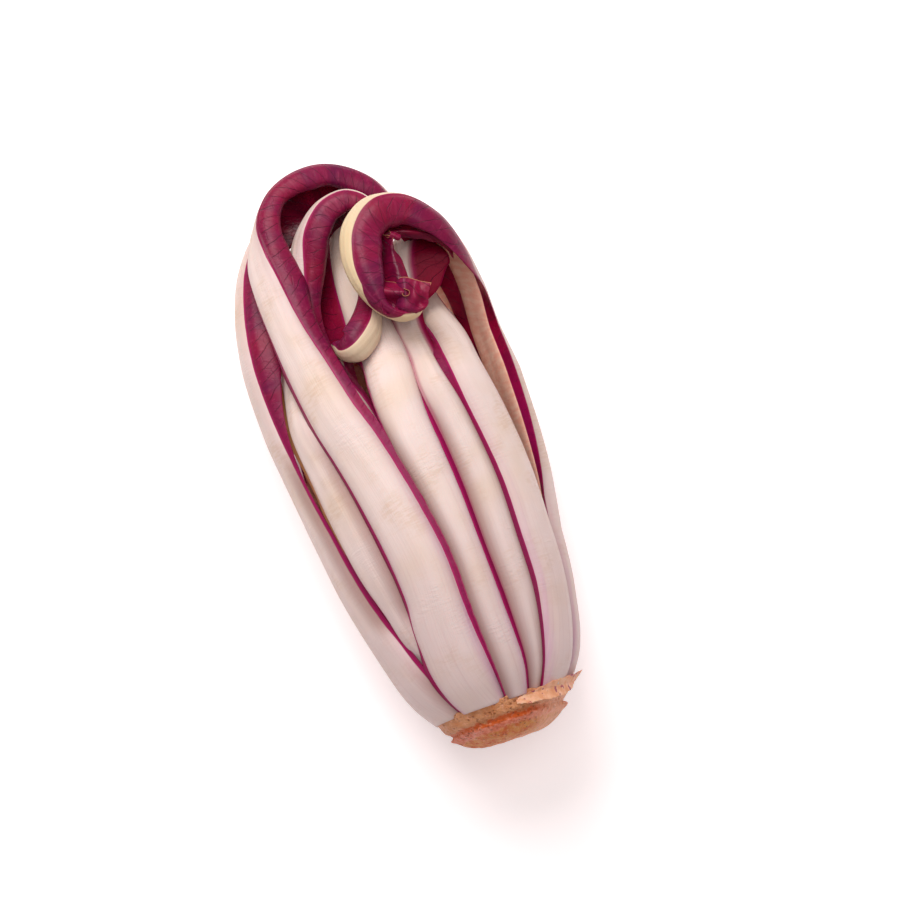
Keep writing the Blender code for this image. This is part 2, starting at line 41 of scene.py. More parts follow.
import bpy
import numpy as np
from mathutils import Matrix, Vector

MM = 0.001
AXIS_HEIGHT = 36.0          # height of the middle of the head in the tables below
LEAF_FOOT = 11.3            # where the leaves start, just above the root collar
TABLE_LEVEL = 1.5           # the back leaves are pressed flat below this height
RIB_OUT = 0.26              # outer bulge of a rib, as a share of its width
RIB_RISE = 0.2              # and this much more at any width
RIB_IN = 0.08               # inner bulge of a rib, as a share of its width
SHIFT = Vector((-0.15, -100.05, -TABLE_LEVEL))   # from the tables' frame to the CAD frame

# Outer shape of the bundle: distance from the foot, middle in x, half width, half height.
BUNDLE = (
    (11, 5, 21.5, 20.5), (14, 5, 24, 23), (20, 5, 28, 26.5), (30, 5, 31.8, 30.5), (40, 4.5, 34.5, 33),
    (60, 3.2, 38, 36), (80, 2.3, 39.7, 37), (110, 0.7, 41, 37), (130, 0.5, 41, 36),
    (150, 0.5, 40, 34.5), (175, 0.5, 38, 33),
)
# Share of the outer shape that each layer of leaves keeps to, from the outer leaves to the heart.
LAYER_SHARE = {1: 1.0, 2: 0.75, 3: 0.51, 4: 0.25}
# Columns of a leaf's row after its point and its outward direction.
WIDTH, LEFT_BLADE, RIGHT_BLADE, LEFT_TURN, RIGHT_TURN = range(6, 11)


def at_bundle(y):
    """Middle, half width and half height of the bundle at distance y from the foot."""
    table = np.array(BUNDLE)
    return [float(np.interp(y, table[:, 0], table[:, k])) for k in (1, 2, 3)]


def bulge(width):
    """How far a rib of this width stands out from its own edges."""
    return RIB_OUT * width + RIB_RISE


def body(y, azimuth, tuck, width, left, right, left_turn, right_turn, layer=1):
    """A row of a leaf where it lies in the bundle, placed by its angle round the axis."""
    middle, half_x, half_z = at_bundle(y)
    depth = bulge(width) + tuck
    share = LAYER_SHARE[layer]
    angle = math.radians(azimuth)
    x = middle + (half_x * share - depth) * math.cos(angle)
    z = AXIS_HEIGHT + (half_z * share - depth) * math.sin(angle)
    normal = Vector((math.cos(angle) / half_x, 0.0, math.sin(angle) / half_z)).normalized()
    return (x, y, z, normal.x, 0.0, normal.z, width, left, right, left_turn, right_turn)


def leaf_rows(lying, loose, layer=1):
    """A leaf's rows from foot to tip: first those in the bundle, then those that leave it."""
    return [body(*row, layer=layer) for row in lying] + list(loose)


# A row in the bundle starts with its distance from the foot, its angle round the axis (degrees)
# and how deep it is tucked.  A row outside it starts with its point and its outward direction.
# Both end with the rib's width, the left and right blades' lengths (mm) and how far each blade
# turns inward (degrees; below zero it stands outward).  Left and right are seen from outside
# with the tip up.
OUTER_LEFT = leaf_rows((
    (11.4, 149, 0, 12.7, 0.8, 1, 60, 40), (20, 153.6, 0, 16.2, 1, 1.2, 60, 40),
    (40, 159, 0, 17.8, 1.2, 1.4, 60, 35), (60, 163, 0, 17.2, 1.2, 1.5, 60, 35),
    (80, 166, -0.2, 16.5, 1.2, 1.2, 60, 35), (100, 167, -1.2, 15.5, 1.2, 0.9, 60, 35),
), (
    (-38, 120, 44, -0.96, 0, 0.28, 13, 2, 3.8, 60, 55),
    (-38.6, 140, 43.5, -0.96, 0.02, 0.28, 12, 3, 9.5, 60, 68),
    (-36.2, 160, 40, -0.93, 0.2, 0.3, 11, 4, 11, 70, 75),
    (-31.5, 175, 35.5, -0.86, 0.45, 0.25, 10, 5, 7, 80, 85),
    (-24, 186, 31.5, -0.65, 0.75, 0.12, 9, 5, 6, 85, 90),
    (-14, 192, 28.5, -0.3, 0.95, 0.05, 8.5, 5, 6, 90, 90),
    (-3.5, 191.5, 27, 0.25, 0.97, 0, 8, 5, 5, 90, 90),
    (4.5, 186, 27, 0.7, 0.7, 0, 7, 5, 5, 90, 90),
    (8, 178, 28, 0.97, 0.2, 0, 5, 4, 4, 90, 90),
    (6, 171.5, 29, 0.9, -0.4, 0, 2.5, 2, 2, 80, 80),
))
FRONT_TALL = leaf_rows((
    (11.4, 105.5, 0, 13, 0.8, 0.8, 50, 40), (20, 109, 0, 16.8, 0.9, 1, 50, 35),
    (40, 109, 0, 18.5, 1.2, 1.2, 50, 30), (60, 105.5, 0, 17.5, 1.3, 1.4, 40, 30),
    (80, 108.5, 0, 17, 1.5, 1.5, 40, 30), (100, 114, 0, 16.5, 2, 2.6, 35, 30),
    (112, 118, 0, 16.2, 2.2, 3, 35, 35),
), (
    (-19.8, 128, 62.5, -0.38, 0.02, 0.92, 14.5, 2, 3.8, 35, 40),
    (-22.9, 146, 60, -0.5, 0.05, 0.86, 12.5, 6, 5.5, 70, 50),
    (-24.4, 161, 57.7, -0.56, 0.1, 0.82, 11.8, 11, 9.8, 88, 55),
    (-24.8, 172, 55.4, -0.7, 0.15, 0.64, 11.8, 11.5, 9.8, 92, 66),
    (-22, 184, 52.5, -0.82, 0.44, 0.22, 10.8, 14, 8.6, 98, 80),
    (-15.5, 192.5, 50, -0.6, 0.78, 0.02, 10, 15, 8.6, 98, 85),
    (-7, 197.2, 48, -0.2, 0.97, 0, 9.5, 15, 9, 98, 85),
    (3, 198.3, 46, 0.15, 0.98, 0.05, 9, 14, 9.2, 95, 85),
    (12.5, 195.2, 43.5, 0.5, 0.85, 0.15, 8.5, 11, 9, 92, 85),
    (19.5, 189, 41.5, 0.8, 0.58, 0.2, 8, 8, 9, 90, 86),
    (22.5, 180.5, 39.5, 0.98, 0.1, 0.2, 7, 4, 4.5, 90, 88),
    (20.5, 173, 38.5, 0.9, -0.4, 0.15, 5, 3, 3, 85, 85),
    (15.8, 169, 38.5, 0.4, -0.9, 0.1, 2.5, 2, 2, 80, 80),
))
UNDER_LEFT = leaf_rows((
    (11.4, 133, 5, 3.5, 0.7, 0.7, 60, 60), (20, 133, 6.6, 4, 0.8, 0.8, 60, 60),
    (30, 133, 5.2, 7, 0.8, 0.8, 60, 60), (40, 133, 3, 9, 1, 1, 70, 70),
    (50, 133.5, 2, 12, 1, 1, 80, 80), (60, 134, 1.5, 14, 1, 1, 85, 85),
    (80, 138, 1.4, 16, 1, 1, 85, 85), (100, 142, 2, 15, 2.2, 1, 5, 85),
    (115, 145, 2.8, 12, 3, 1, -28, 85),
), (
    (-26.6, 128, 49.5, -0.65, 0.05, 0.76, 10.5, 3.6, 1.5, -18, 80),
    (-25, 142, 45, -0.62, 0.15, 0.77, 9, 4.5, 1.5, 30, 80),
    (-21, 153, 40.5, -0.5, 0.45, 0.74, 8, 4.5, 1.5, 65, 80),
    (-15.5, 160, 36.5, -0.15, 0.78, 0.6, 6.5, 3, 1.5, 75, 80),
    (-10, 161, 33.5, 0.3, 0.9, 0.3, 3.5, 2, 1.5, 80, 80),
))
UNDER_FRONT = leaf_rows((
    (11.4, 74.5, 0.2, 6.2, 0.7, 0.7, 60, 45), (20, 75.5, 0.5, 7.8, 0.7, 1, 70, 40),
    (40, 78.5, 0.7, 9.2, 0.8, 1.2, 80, 30), (60, 78.5, 0.8, 9.2, 0.7, 1.3, 80, 30),
    (80, 81, 0.9, 11.3, 0.7, 1.5, 80, 30), (100, 83.8, 1, 13.4, 0.8, 1.5, 80, 30),
), (
    (4.3, 116, 65.3, 0.05, 0.08, 1, 15, 1, 1.6, 80, 30),
    (4.4, 127.5, 60, 0, 0.25, 0.95, 14.6, 1.5, 1.5, 60, 40),
    (3.3, 139, 54, -0.05, 0.35, 0.93, 15.3, 8, 1.5, 30, 60),
    (1.6, 150, 50, -0.1, 0.25, 0.96, 11.5, 11, 2, 22, 75),
    (2.2, 163, 48, -0.25, 0.2, 0.94, 11, 12, 2.5, 25, 80),
    (4.4, 174, 46, -0.25, 0.4, 0.88, 10.5, 11, 3, 40, 80),
    (6.4, 181, 42, 0, 0.8, 0.6, 8.5, 7, 3, 60, 80),
    (12.5, 178.5, 36.5, 0.5, 0.86, 0, 4.5, 2.5, 2.5, 80, 80),
    (13.5, 174.5, 33.5, 0.8, 0.3, -0.5, 2.5, 1.5, 1.5, 80, 80),
))
UNDER_RIGHT = leaf_rows((
    (11.4, 56, 2, 3.2, 0.6, 0.6, 60, 60), (20, 56.5, 1.7, 5, 0.7, 0.7, 70, 70),
    (30, 57, 1.5, 7.7, 0.7, 0.7, 80, 80), (40, 56.8, 1.4, 10, 0.7, 0.7, 80, 80),
    (60, 57.8, 1.4, 11.7, 0.7, 0.7, 80, 80), (80, 58.4, 1.4, 11.9, 0.7, 0.7, 80, 80),
    (100, 61, 1.4, 11, 0.7, 0.7, 80, 80), (112, 64.2, 1.6, 9.6, 0.8, 0.8, 80, 80),
), (
    (15.7, 124, 60.6, 0.3, 0.2, 0.93, 7.2, 1, 2.6, 80, 25),
    (14.5, 134, 58.2, 0.2, 0.2, 0.95, 6.8, 1.2, 2.6, 80, 20),
    (14.8, 142, 56.4, 0.1, 0.1, 0.98, 7.2, 2, 3.8, 80, 15),
    (16.6, 149.5, 55.6, -0.05, 0.1, 0.99, 7.8, 3, 10, 80, 12),
    (18, 156, 55.2, -0.1, 0.25, 0.95, 7.4, 4, 13, 80, 14),
    (20.5, 161.8, 53.4, -0.15, 0.6, 0.78, 7, 4, 12, 80, 25),
    (23.6, 165.4, 49.6, 0.05, 0.93, 0.35, 6, 3, 9, 80, 40),
    (26, 166, 45, 0.4, 0.9, 0, 4.5, 3, 6, 80, 60),
    (27.5, 164.5, 41.5, 0.6, 0.75, -0.2, 2.5, 2, 2, 80, 80),
))
RIGHT_FRONT = leaf_rows((
    (11.4, 33, 0, 8.5, 0.7, 0.7, 45, 60), (20, 31.5, 0, 12.4, 0.8, 0.7, 40, 70),
    (30, 30, 0.1, 14.7, 1, 0.7, 35, 80), (40, 28.4, 0.1, 16, 1.1, 0.7, 32, 80),
    (60, 30, 0.2, 16.6, 1.3, 0.7, 30, 80), (80, 31.6, 0.2, 16.4, 1.3, 0.8, 30, 80),
), (
    (30.3, 100, 55.4, 0.74, 0, 0.67, 15, 2, 0.8, 25, 80),
    (28, 117, 56.4, 0.68, 0.1, 0.72, 13.2, 3, 1, 25, 80),
    (26.6, 129, 52.2, 0.5, 0.3, 0.8, 11.6, 3.4, 1.2, 25, 80),
    (24, 139, 47, 0.3, 0.4, 0.86, 9.5, 2, 2, 50, 80),
    (22.4, 149, 42, 0.3, 0.4, 0.86, 8, 2, 2, 60, 80),
    (22, 158, 37, 0.3, 0.55, 0.78, 7, 2, 2, 70, 80),
    (19, 164.5, 34, 0.2, 0.85, 0.5, 6, 2, 2, 80, 80),
    (15.5, 167, 31.5, 0.1, 1, 0.2, 3.5, 1.5, 1.5, 80, 80),
))
RIGHT_HOOK = leaf_rows((
    (11.4, -5, 0, 9.6, 0.8, 0.7, 40, 60), (20, -6.5, 0, 13, 1, 0.8, 35, 60),
    (40, -6.8, 0, 16, 1.1, 0.8, 30, 60), (60, -7, 0, 17, 1.5, 0.8, 25, 60),
), (
    (36.9, 80, 32.1, 0.93, 0, -0.37, 17, 2.2, 1, -5, 60),
    (37.6, 98, 34.8, 0.9, 0, -0.43, 16, 3, 1, -25, 60),
    (37.9, 115, 38, 0.9, 0, -0.43, 14.5, 3.4, 2, -28, 40),
    (37.5, 130, 39.2, 0.9, 0.08, -0.42, 13.5, 3.6, 5, -20, 30),
    (38, 144, 46, 0.85, 0.2, -0.42, 12.5, 5, 7, 15, 30),
    (36.2, 156.5, 54.5, 0.8, 0.45, -0.38, 11.5, 6.5, 8, 60, 45),
    (31.8, 167, 62, 0.62, 0.75, -0.2, 10.5, 9.3, 9, 80, 75),
    (24.5, 173.8, 67, 0.28, 0.94, 0.14, 9.5, 12.3, 10, 88, 88),
    (15, 174.3, 71, -0.35, 0.85, 0.4, 9, 13.8, 10, 90, 98),
    (7.2, 168, 73, -0.74, 0.42, 0.5, 8.5, 12.6, 9, 90, 105),
    (4, 158, 74, -0.9, -0.05, 0.42, 8, 12.6, 9, 90, 108),
    (4.8, 147.5, 74, -0.85, -0.4, 0.3, 7, 9.5, 8, 88, 108),
    (9, 139, 72.6, -0.45, -0.88, 0.2, 5.6, 1.6, 6, 75, 105),
    (15.5, 134.8, 70.8, 0.05, -0.98, 0.15, 4.6, 0.8, 4, 90, 88),
    (19.6, 135.4, 69.8, 0.5, -0.85, 0.1, 3.2, 1, 2, 90, 88),
    (21.6, 137.6, 69.6, 0.85, -0.5, 0.1, 1.8, 0.8, 1, 80, 80),
))
LOOP = leaf_rows((
    (11.4, 100, 0, 7, 0.7, 0.7, 60, 60), (20, 102, 0, 8.5, 0.8, 0.8, 60, 60),
    (40, 103, 0.5, 10, 1, 1, 60, 60), (80, 106, 0.5, 10, 1.5, 1.5, 60, 60),
), (
    (-10.5, 115, 54, -0.3, 0, 0.95, 10, 2, 2, 60, 60),
    (-17.3, 135, 51.5, -0.5, 0, 0.86, 9.5, 3, 3, 65, 65),
    (-16.9, 152, 52.3, -0.66, 0.05, 0.75, 9, 6, 3.8, 80, 66),
    (-13.3, 166, 54.4, -0.76, 0.25, 0.6, 9.8, 9, 8, 88, 74),
    (-7.2, 177.3, 56.7, -0.56, 0.72, 0.4, 9.2, 11, 10.5, 92, 80),
    (1.2, 183.8, 57.3, -0.15, 0.93, 0.35, 8, 11, 9.5, 92, 86),
    (9.6, 184.4, 56.8, 0.25, 0.93, 0.3, 7.6, 10, 8.5, 92, 86),
    (15.2, 180, 56.3, 0.8, 0.55, 0.2, 7.3, 8, 7, 90, 88),
    (16.4, 171.5, 54.8, 0.98, -0.1, 0.1, 7, 4.5, 5, 90, 88),
    (13.2, 161.5, 54.8, 0.95, -0.3, 0, 7, 4, 5, 88, 88),
    (9.3, 151.5, 56.8, 0.93, -0.35, 0.1, 7, 4, 5.6, 85, 85),
    (6.3, 142, 61, 0.85, -0.4, 0.35, 7.6, 4, 6.2, 80, 80),
    (2.6, 134, 66, 0.55, -0.6, 0.58, 8.2, 4, 7.2, 75, 78),
    (-3, 130, 67, -0.05, -0.8, 0.6, 7.6, 4, 7.4, 75, 78),
    (-7.8, 131.8, 62.3, -0.55, -0.7, 0.45, 5.5, 3, 6, 80, 80),
    (-10.3, 137, 58.5, -0.95, 0, 0.3, 2.5, 1.5, 2, 80, 80),
), layer=2)
INNER_FACE_LEFT = leaf_rows((
    (11.4, 189, 0, 9.5, 0.8, 0.8, 60, 50), (20, 193, 0, 11.6, 0.7, 0.8, 60, 60),
    (40, 196, 0, 14.8, 0.7, 0.9, 60, 60), (60, 197, 0, 16, 1, 1, 60, 50),
    (80, 199.5, 0.5, 15.5, 1, 1, 60, 50),
), (
    (-30.8, 100, 23.5, -0.88, 0, -0.46, 14.5, 1.5, 1.5, 60, 40),
    (-30, 120, 22.5, -0.87, 0, -0.48, 13, 2.5, 2, 60, 30),
    (-29.7, 140, 22.8, -0.86, 0.1, -0.48, 11, 3.5, 3, 70, 40),
    (-27.7, 156, 23, -0.84, 0.35, -0.4, 9.5, 4.2, 4, 80, 60),
    (-22.7, 168, 22, -0.65, 0.7, -0.25, 8, 4.5, 4, 80, 80),
    (-16, 173.5, 21.5, -0.1, 0.98, -0.1, 7, 4, 4, 85, 85),
    (-10.5, 171.5, 23.5, 0.6, 0.8, 0, 5, 3.5, 3, 85, 85),
    (-8.5, 166.5, 25, 0.95, 0.3, 0, 2.8, 2, 2, 80, 80),
))


CURLED_AT = (11.4, 20, 40, 60, 80, 110, 135)      # where a curled leaf has its straight rows
CURL_STEPS = 5
PLAIN_TURN = 60             # how far the blades of a straight row turn inward, in degrees
CURLED_TURN = 75            # and those of a curled row


def curled(azimuths, widths, start, radius, turn, reach, layer=1):
    """A plain leaf that follows the bundle and then curls toward the middle of the head."""
    rows = []
    for y in CURLED_AT:
        if y > start - 8:
            break
        azimuth = float(np.interp(y, (11.4, 60, start), azimuths))
        width = float(np.interp(y, (11.4, 40, 80, start), widths))
        margin = float(np.interp(y, (11.4, 90, start), (0.7, 1.2, reach * 0.8)))
        rows.append(body(y, azimuth, 0, width, margin, margin, PLAIN_TURN, PLAIN_TURN, layer))
    first = body(start, azimuths[-1], 0, widths[-1], 1, 1, 0, 0, layer)
    spine, outward = Vector(first[0:3]), Vector(first[3:6])
    onward = Vector((0, 1, 0))
    for share in np.linspace(0, 1, CURL_STEPS + 1):
        angle = math.radians(turn) * share
        point = spine + onward * radius * math.sin(angle)
        point -= outward * radius * (1 - math.cos(angle))
        normal = outward * math.cos(angle) + onward * math.sin(angle)
        width = widths[-1] * (1 - 0.72 * share ** 1.5)
        blade = reach * (1 - 0.6 * share ** 2)
        rows.append((*point, *normal, width, blade, blade, CURLED_TURN, CURLED_TURN))
    return rows


# Leaves on the outside of the head, and those that show between them.
SHOWN = {
    "outer_leaf_left": OUTER_LEFT,
    "outer_leaf_front": FRONT_TALL,
    "under_leaf_left": UNDER_LEFT,
    "front_leaf_middle": UNDER_FRONT,
    "front_leaf_right": UNDER_RIGHT,
    "outer_leaf_right_front": RIGHT_FRONT,
    "outer_leaf_right_hook": RIGHT_HOOK,
    "looped_leaf": LOOP,
    "outer_leaf_left_low": INNER_FACE_LEFT,
    "back_leaf_left": curled((222, 229, 234), (7.6, 13, 12.8, 8), 134, 9, 185, 3.8),
    "back_leaf_middle_left": curled((251.5, 257.5, 258), (8.2, 14, 14, 11), 166, 8, 190, 4.5),
    "back_leaf_middle_right": curled((284, 286.5, 286.5), (8.5, 14.2, 14, 10.5), 152, 9, 185, 4.5),
    "back_leaf_right": curled((319, 318, 315.5), (8.5, 14.8, 14, 11), 158, 8, 190, 4.5),
}
# Hidden layers: rib widths along a leaf, radius and turn of its curl, length of its blades.
HIDDEN_LAYERS = {
    2: ((6, 10, 10, 9), 5, 170, 3), 3: ((5, 8, 8, 7), 5, 150, 3), 4: ((3.5, 6, 6, 5), 4, 120, 2.5),
}
# Hidden leaves: layer, angles round the axis along the leaf, and where the curl starts.
HIDDEN = {
    "second_leaf_left": (2, (160, 172, 174), 128),
    "second_leaf_low_left": (2, (212, 215, 215), 128),
    "second_leaf_low": (2, (262, 262, 262), 136),
    "second_leaf_low_right": (2, (308, 305, 305), 145),
    "second_leaf_right": (2, (0, -8, -10), 138),
    "inner_leaf_front": (3, (120, 127, 130), 131),
    "inner_leaf_left": (3, (205, 205, 205), 114),
    "inner_leaf_back": (3, (285, 285, 285), 126),
    "inner_leaf_right": (3, (15, 15, 15), 132),
    "heart_leaf_front": (4, (70, 70, 70), 128),
    "heart_leaf_back": (4, (250, 250, 250), 120),
}


def hidden_rows(layer, azimuths, start):
    """Rows of a leaf that lies inside the bundle."""
    widths, *curl = HIDDEN_LAYERS[layer]
    return curled(azimuths, widths, start, *curl, layer)


# ---- leaf surfaces

SHOWN_STATIONS = 300        # cross-sections along a leaf that shows from some side
HIDDEN_STATIONS = 110       # and along a hidden one
RIB_COLUMNS = 25            # points across a rib
BLADE_COLUMNS = 14          # points across each blade
THICK_AT_RIB = 0.42         # half thickness of a blade where it leaves the rib
THICK_AT_MARGIN = 0.15      # half thickness at the free edge
DOME_SIDES = 2.2            # how steep the sides of a rib's dome are
DOME_TOP = 0.58             # how flat its top is
THINNEST_RIB = 1.6
SHORTEST_BLADE = 0.5
ROUNDED = 5.0               # length of the rounded tip of a leaf
INSIDE_RIB = 9.0            # "margin" value on a rib, far from any free edge


def hermite(at, values, slopes, wanted):
    """Cubic curve through the values with the given slopes."""
    slot = np.clip(np.searchsorted(at, wanted, side="right") - 1, 0, len(at) - 2)
    span = at[slot + 1] - at[slot]
    t = ((wanted - at[slot]) / span)[:, None]
    span = span[:, None]
    start, end = values[slot], values[slot + 1]
    rise = (2 * t ** 3 - 3 * t ** 2 + 1) * start + (-2 * t ** 3 + 3 * t ** 2) * end
    lean = (t ** 3 - 2 * t ** 2 + t) * span * slopes[slot] + (t ** 3 - t ** 2) * span * slopes[slot + 1]
    return rise + lean


def distances(points):
    """How far along a chain of points each of them lies."""
    gaps = np.linalg.norm(np.diff(points, axis=0), axis=1)
    return np.concatenate([[0.0], np.cumsum(gaps)])


def doubled(values):
    """Values of the outer side, then the same values back along the inner side."""
    return np.concatenate([values, values[:, ::-1]], axis=1)


def unit(vectors):
    """Each row scaled to length one."""
    return vectors / np.maximum(np.linalg.norm(vectors, axis=-1, keepdims=True), 1e-9)


def frames(samples):
    """Spine points with their outward and sideways directions."""
    points, outward = samples[:, :3], samples[:, 3:6]
    tangent = unit(np.gradient(points, axis=0))
    outward = unit(outward - tangent * np.sum(outward * tangent, axis=1)[:, None])
    return points, outward, np.cross(tangent, outward)


def ripple(along, seed, wavelengths, weights):
    """A smooth random wave along the leaf, about -1 to 1."""
    phases = np.random.default_rng(seed).uniform(0, 2 * math.pi, len(wavelengths))
    parts = [weight * np.sin(2 * math.pi * along / length + phase)
             for length, weight, phase in zip(wavelengths, weights, phases)]
    return sum(parts) / sum(weights)


def smoothstep(low, high, x):
    """0 below low, 1 above high, smooth between."""
    t = np.clip((x - low) / (high - low), 0.0, 1.0)
    return t * t * (3 - 2 * t)


def blade_columns(length, turn, roll, side, along, seed, frill):
    """One blade at every station, from the rib out to its margin: its middle line and normal,
    sideways (q) and outward (h), how far out each point is, and the blade's length."""
    share = np.linspace(0.0, 1.0, BLADE_COLUMNS + 1)[None, :]
    length = np.maximum(length, SHORTEST_BLADE)
    uneven = ripple(along, seed, (37, 23, 9.1), (1, 0.7, 0.25)) * smoothstep(2, 6, length)
    length = (length * (1 + 0.04 * uneven))[:, None]
    bend = np.radians(turn)[:, None] * (0.45 + 0.55 * smoothstep(0.0, 0.45, share))
    bend = bend + np.radians(roll)[:, None] * smoothstep(0.5, 0.95, share)
    step = length / BLADE_COLUMNS
    middle = (bend[:, 1:] + bend[:, :-1]) / 2
    q, h = np.zeros_like(bend), np.zeros_like(bend)
    q[:, 1:] = np.cumsum(np.cos(middle) * step, axis=1)
    h[:, 1:] = np.cumsum(-np.sin(middle) * step, axis=1)
    lift = waves(along, share, seed + 7) * frill[:, None] * share ** 1.6 * smoothstep(1.5, 6.0, length)
    lean_q, lean_h = np.sin(bend), np.cos(bend)
    q, h = q + lean_q * lift, h + lean_h * lift
    return q * side, h, lean_q * side, lean_h, share * length, length


def waves(along, share, seed):
    """Soft folds of a blade: they fan out from the rib and shift along the margin."""
    near = ripple(along, seed, (47, 31, 19), (1, 0.8, 0.5))[:, None]
    far = ripple(along, seed + 1, (31, 21, 13), (1, 0.8, 0.4))[:, None]
    return near * (1 - share) + far * share


def rounded_end(along):
    """Narrows the last few millimetres of a leaf to a rounded tip."""
    left = np.clip((along[-1] - along) / ROUNDED, 0.0, 1.0)
    return np.sqrt(1 - (1 - left) ** 2) * 0.97 + 0.03


def section_grid(leaf, seed):
    """Outer and inner cross-section points at every station, with what the shader needs."""
    samples, along = leaf.samples, leaf.along
    bulge_share, roll_left, roll_right, creep_left, creep_right, frill = leaf.extras.T
    end = rounded_end(along)
    width = np.maximum(samples[:, WIDTH], THINNEST_RIB) * end
    left_length, left_turn = samples[:, LEFT_BLADE] * end, samples[:, LEFT_TURN]
    right_length, right_turn = samples[:, RIGHT_BLADE] * end, samples[:, RIGHT_TURN]
    left = blade_columns(left_length, left_turn, roll_left, -1, along, seed + 1, frill)
    right = blade_columns(right_length, right_turn, roll_right, 1, along, seed + 2, frill)
    across = np.sin(np.linspace(-math.pi / 2, math.pi / 2, RIB_COLUMNS))[None, :]
    dome = np.clip(1 - np.abs(across) ** DOME_SIDES, 0, 1) ** DOME_TOP
    top = ((RIB_OUT * width + RIB_RISE * end) * bulge_share)[:, None]
    ridge = rib_ridges(across, along, seed) * smoothstep(3, 10, width)[:, None] * dome
    rib_q = across * width[:, None] / 2
    rib_out = THICK_AT_RIB + (top - THICK_AT_RIB) * dome + ridge
    rib_in = -THICK_AT_RIB - (RIB_IN * width)[:, None] * dome * (0.55 + 0.45 * np.abs(across))
    tint = np.where(across < 0, leaf.tint[-1][:, None], leaf.tint[1][:, None]) * np.abs(across)
    grids = {
        "q_out": [rib_q], "h_out": [rib_out], "q_in": [rib_q], "h_in": [rib_in],
        "edge": [rib_edge(rib_q, rib_out, creep_left, creep_right)],
        "margin": [np.full_like(rib_q, INSIDE_RIB)], "tint": [tint],
    }
    add_blade(grids, left, -1, width, creep_left, leaf.tint[-1])
    add_blade(grids, right, 1, width, creep_right, leaf.tint[1])
    return {key: np.concatenate(parts, axis=1) for key, parts in grids.items()}


def add_blade(grids, blade, side, width, creep, tint):
    """Puts one blade's columns beside those of the rib, left (-1) or right (1) of them."""
    q, h, lean_q, lean_h, reach, length = blade
    half = THICK_AT_RIB + (THICK_AT_MARGIN - THICK_AT_RIB) * reach / length
    base = side * width[:, None] / 2
    parts = {
        "q_out": base + q + lean_q * half, "h_out": h + lean_h * half,
        "q_in": base + q - lean_q * half, "h_in": h - lean_h * half,
        "edge": reach + creep[:, None], "margin": length - reach,
        "tint": np.broadcast_to(tint[:, None], reach.shape),
    }
    for key, grid in parts.items():
        if side < 0:
            grids[key].insert(0, grid[:, :0:-1])
        else:
            grids[key].append(grid[:, 1:])


def rib_edge(q, h, creep_left, creep_right):
    """Minus the distance over the surface to the nearer edge of the rib, plus the creep."""
    step = np.hypot(np.diff(q, axis=1), np.diff(h, axis=1))
    zero = np.zeros((len(q), 1))
    from_left = np.concatenate([zero, np.cumsum(step, axis=1)], axis=1)
    from_right = from_left[:, -1:] - from_left
    return np.maximum(creep_left[:, None] - from_left, creep_right[:, None] - from_right)


def rib_ridges(across, along, seed):
    """Very low lengthwise ridges on a rib, which wander slowly along it."""
    drift = ripple(along, seed + 11, (130, 61), (1, 0.6))[:, None]
    return 0.10 * np.sin(across * 9.0 + 2.0 * drift) + 0.06 * np.sin(across * 21.0 + 3.0 * drift + 1)


PLAIN = (1, 0, 0, 0, 0, 0.15)        # a row of FOLDS with nothing special
STRAIGHT_END = 118.0                 # the ribs lie side by side up to here


class Leaf:
    """One leaf sampled along its spine, before its cross-sections are laid out."""

    def __init__(self, name, rows, stations):
        table = np.array(rows, dtype=float)
        at = distances(table[:, :3])
        self.along = np.linspace(0.0, at[-1], stations)
        self.samples = hermite(at, table, np.gradient(table, at, axis=0), self.along)
        self.points, self.outward, self.sideways = frames(self.samples)
        detail = np.array(FOLDS.get(name, ((0, *PLAIN), (1, *PLAIN))), dtype=float)
        row_at = np.interp(detail[:, 0], np.arange(len(rows)), at)
        self.extras = np.stack([np.interp(self.along, row_at, detail[:, k]) for k in range(1, 7)], axis=1)
        self.tint = {-1: np.zeros(stations), 1: np.zeros(stations)}
        self.wide_left, self.wide_right = np.zeros(stations), np.zeros(stations)
        self.rise = int(np.argmax(self.points[:, 1] > min(STRAIGHT_END, self.points[:, 1].max() - 1)))

    def edge_line(self, side):
        """The left (-1) or right (1) edge of the rib on the straight part of the leaf."""
        line = self.points + self.sideways * (side * self.samples[:, [WIDTH]] / 2)
        return line[:self.rise]


FADE_IN = 12.0              # mm over which closing a gap sets in
FADE_OUT = 25.0             # mm over which it ends
FOOT_LINE = 0.45            # share of a line's width that is left at the foot
MOST_IN = 1.2               # the most that an edge moves back from its neighbour
OVERLAP = 0.5               # how far a margin lies over its neighbour


def close_gap(first, second, cover, wanted, most, low, top):
    """Moves the edges of two neighbouring ribs until only a narrow line stays between them."""
    left, right = second.edge_line(-1), first.edge_line(1)
    y, stop = right[:, 1], first.rise
    meet = np.stack([np.interp(y, left[:, 1], left[:, k]) for k in range(3)], axis=1)
    gap = np.sum((meet - right) * first.sideways[:stop], axis=1)
    drop = np.sum((meet - right) * first.outward[:stop], axis=1)
    fade = smoothstep(top, top - FADE_OUT, y) * smoothstep(low - 1, low + FADE_IN, y)
    wanted = wanted * (FOOT_LINE + (1 - FOOT_LINE) * smoothstep(12, 50, y))
    extra = np.clip((gap - wanted) / 2, -MOST_IN, most) * fade
    first.wide_right[:stop] += extra
    second.wide_left[:second.rise] += np.interp(second.points[:second.rise, 1], y, extra)
    reach = np.clip(gap - 2 * extra + OVERLAP, 0.8, 3.0)
    over, under, side = (first, second, 1) if cover == "left" else (second, first, -1)
    lay_over(over, side, y, reach, np.degrees(np.arctan2(-side * drop, np.maximum(gap, 0.5))), fade)
    shade_edge(under, -side, y, -fade)


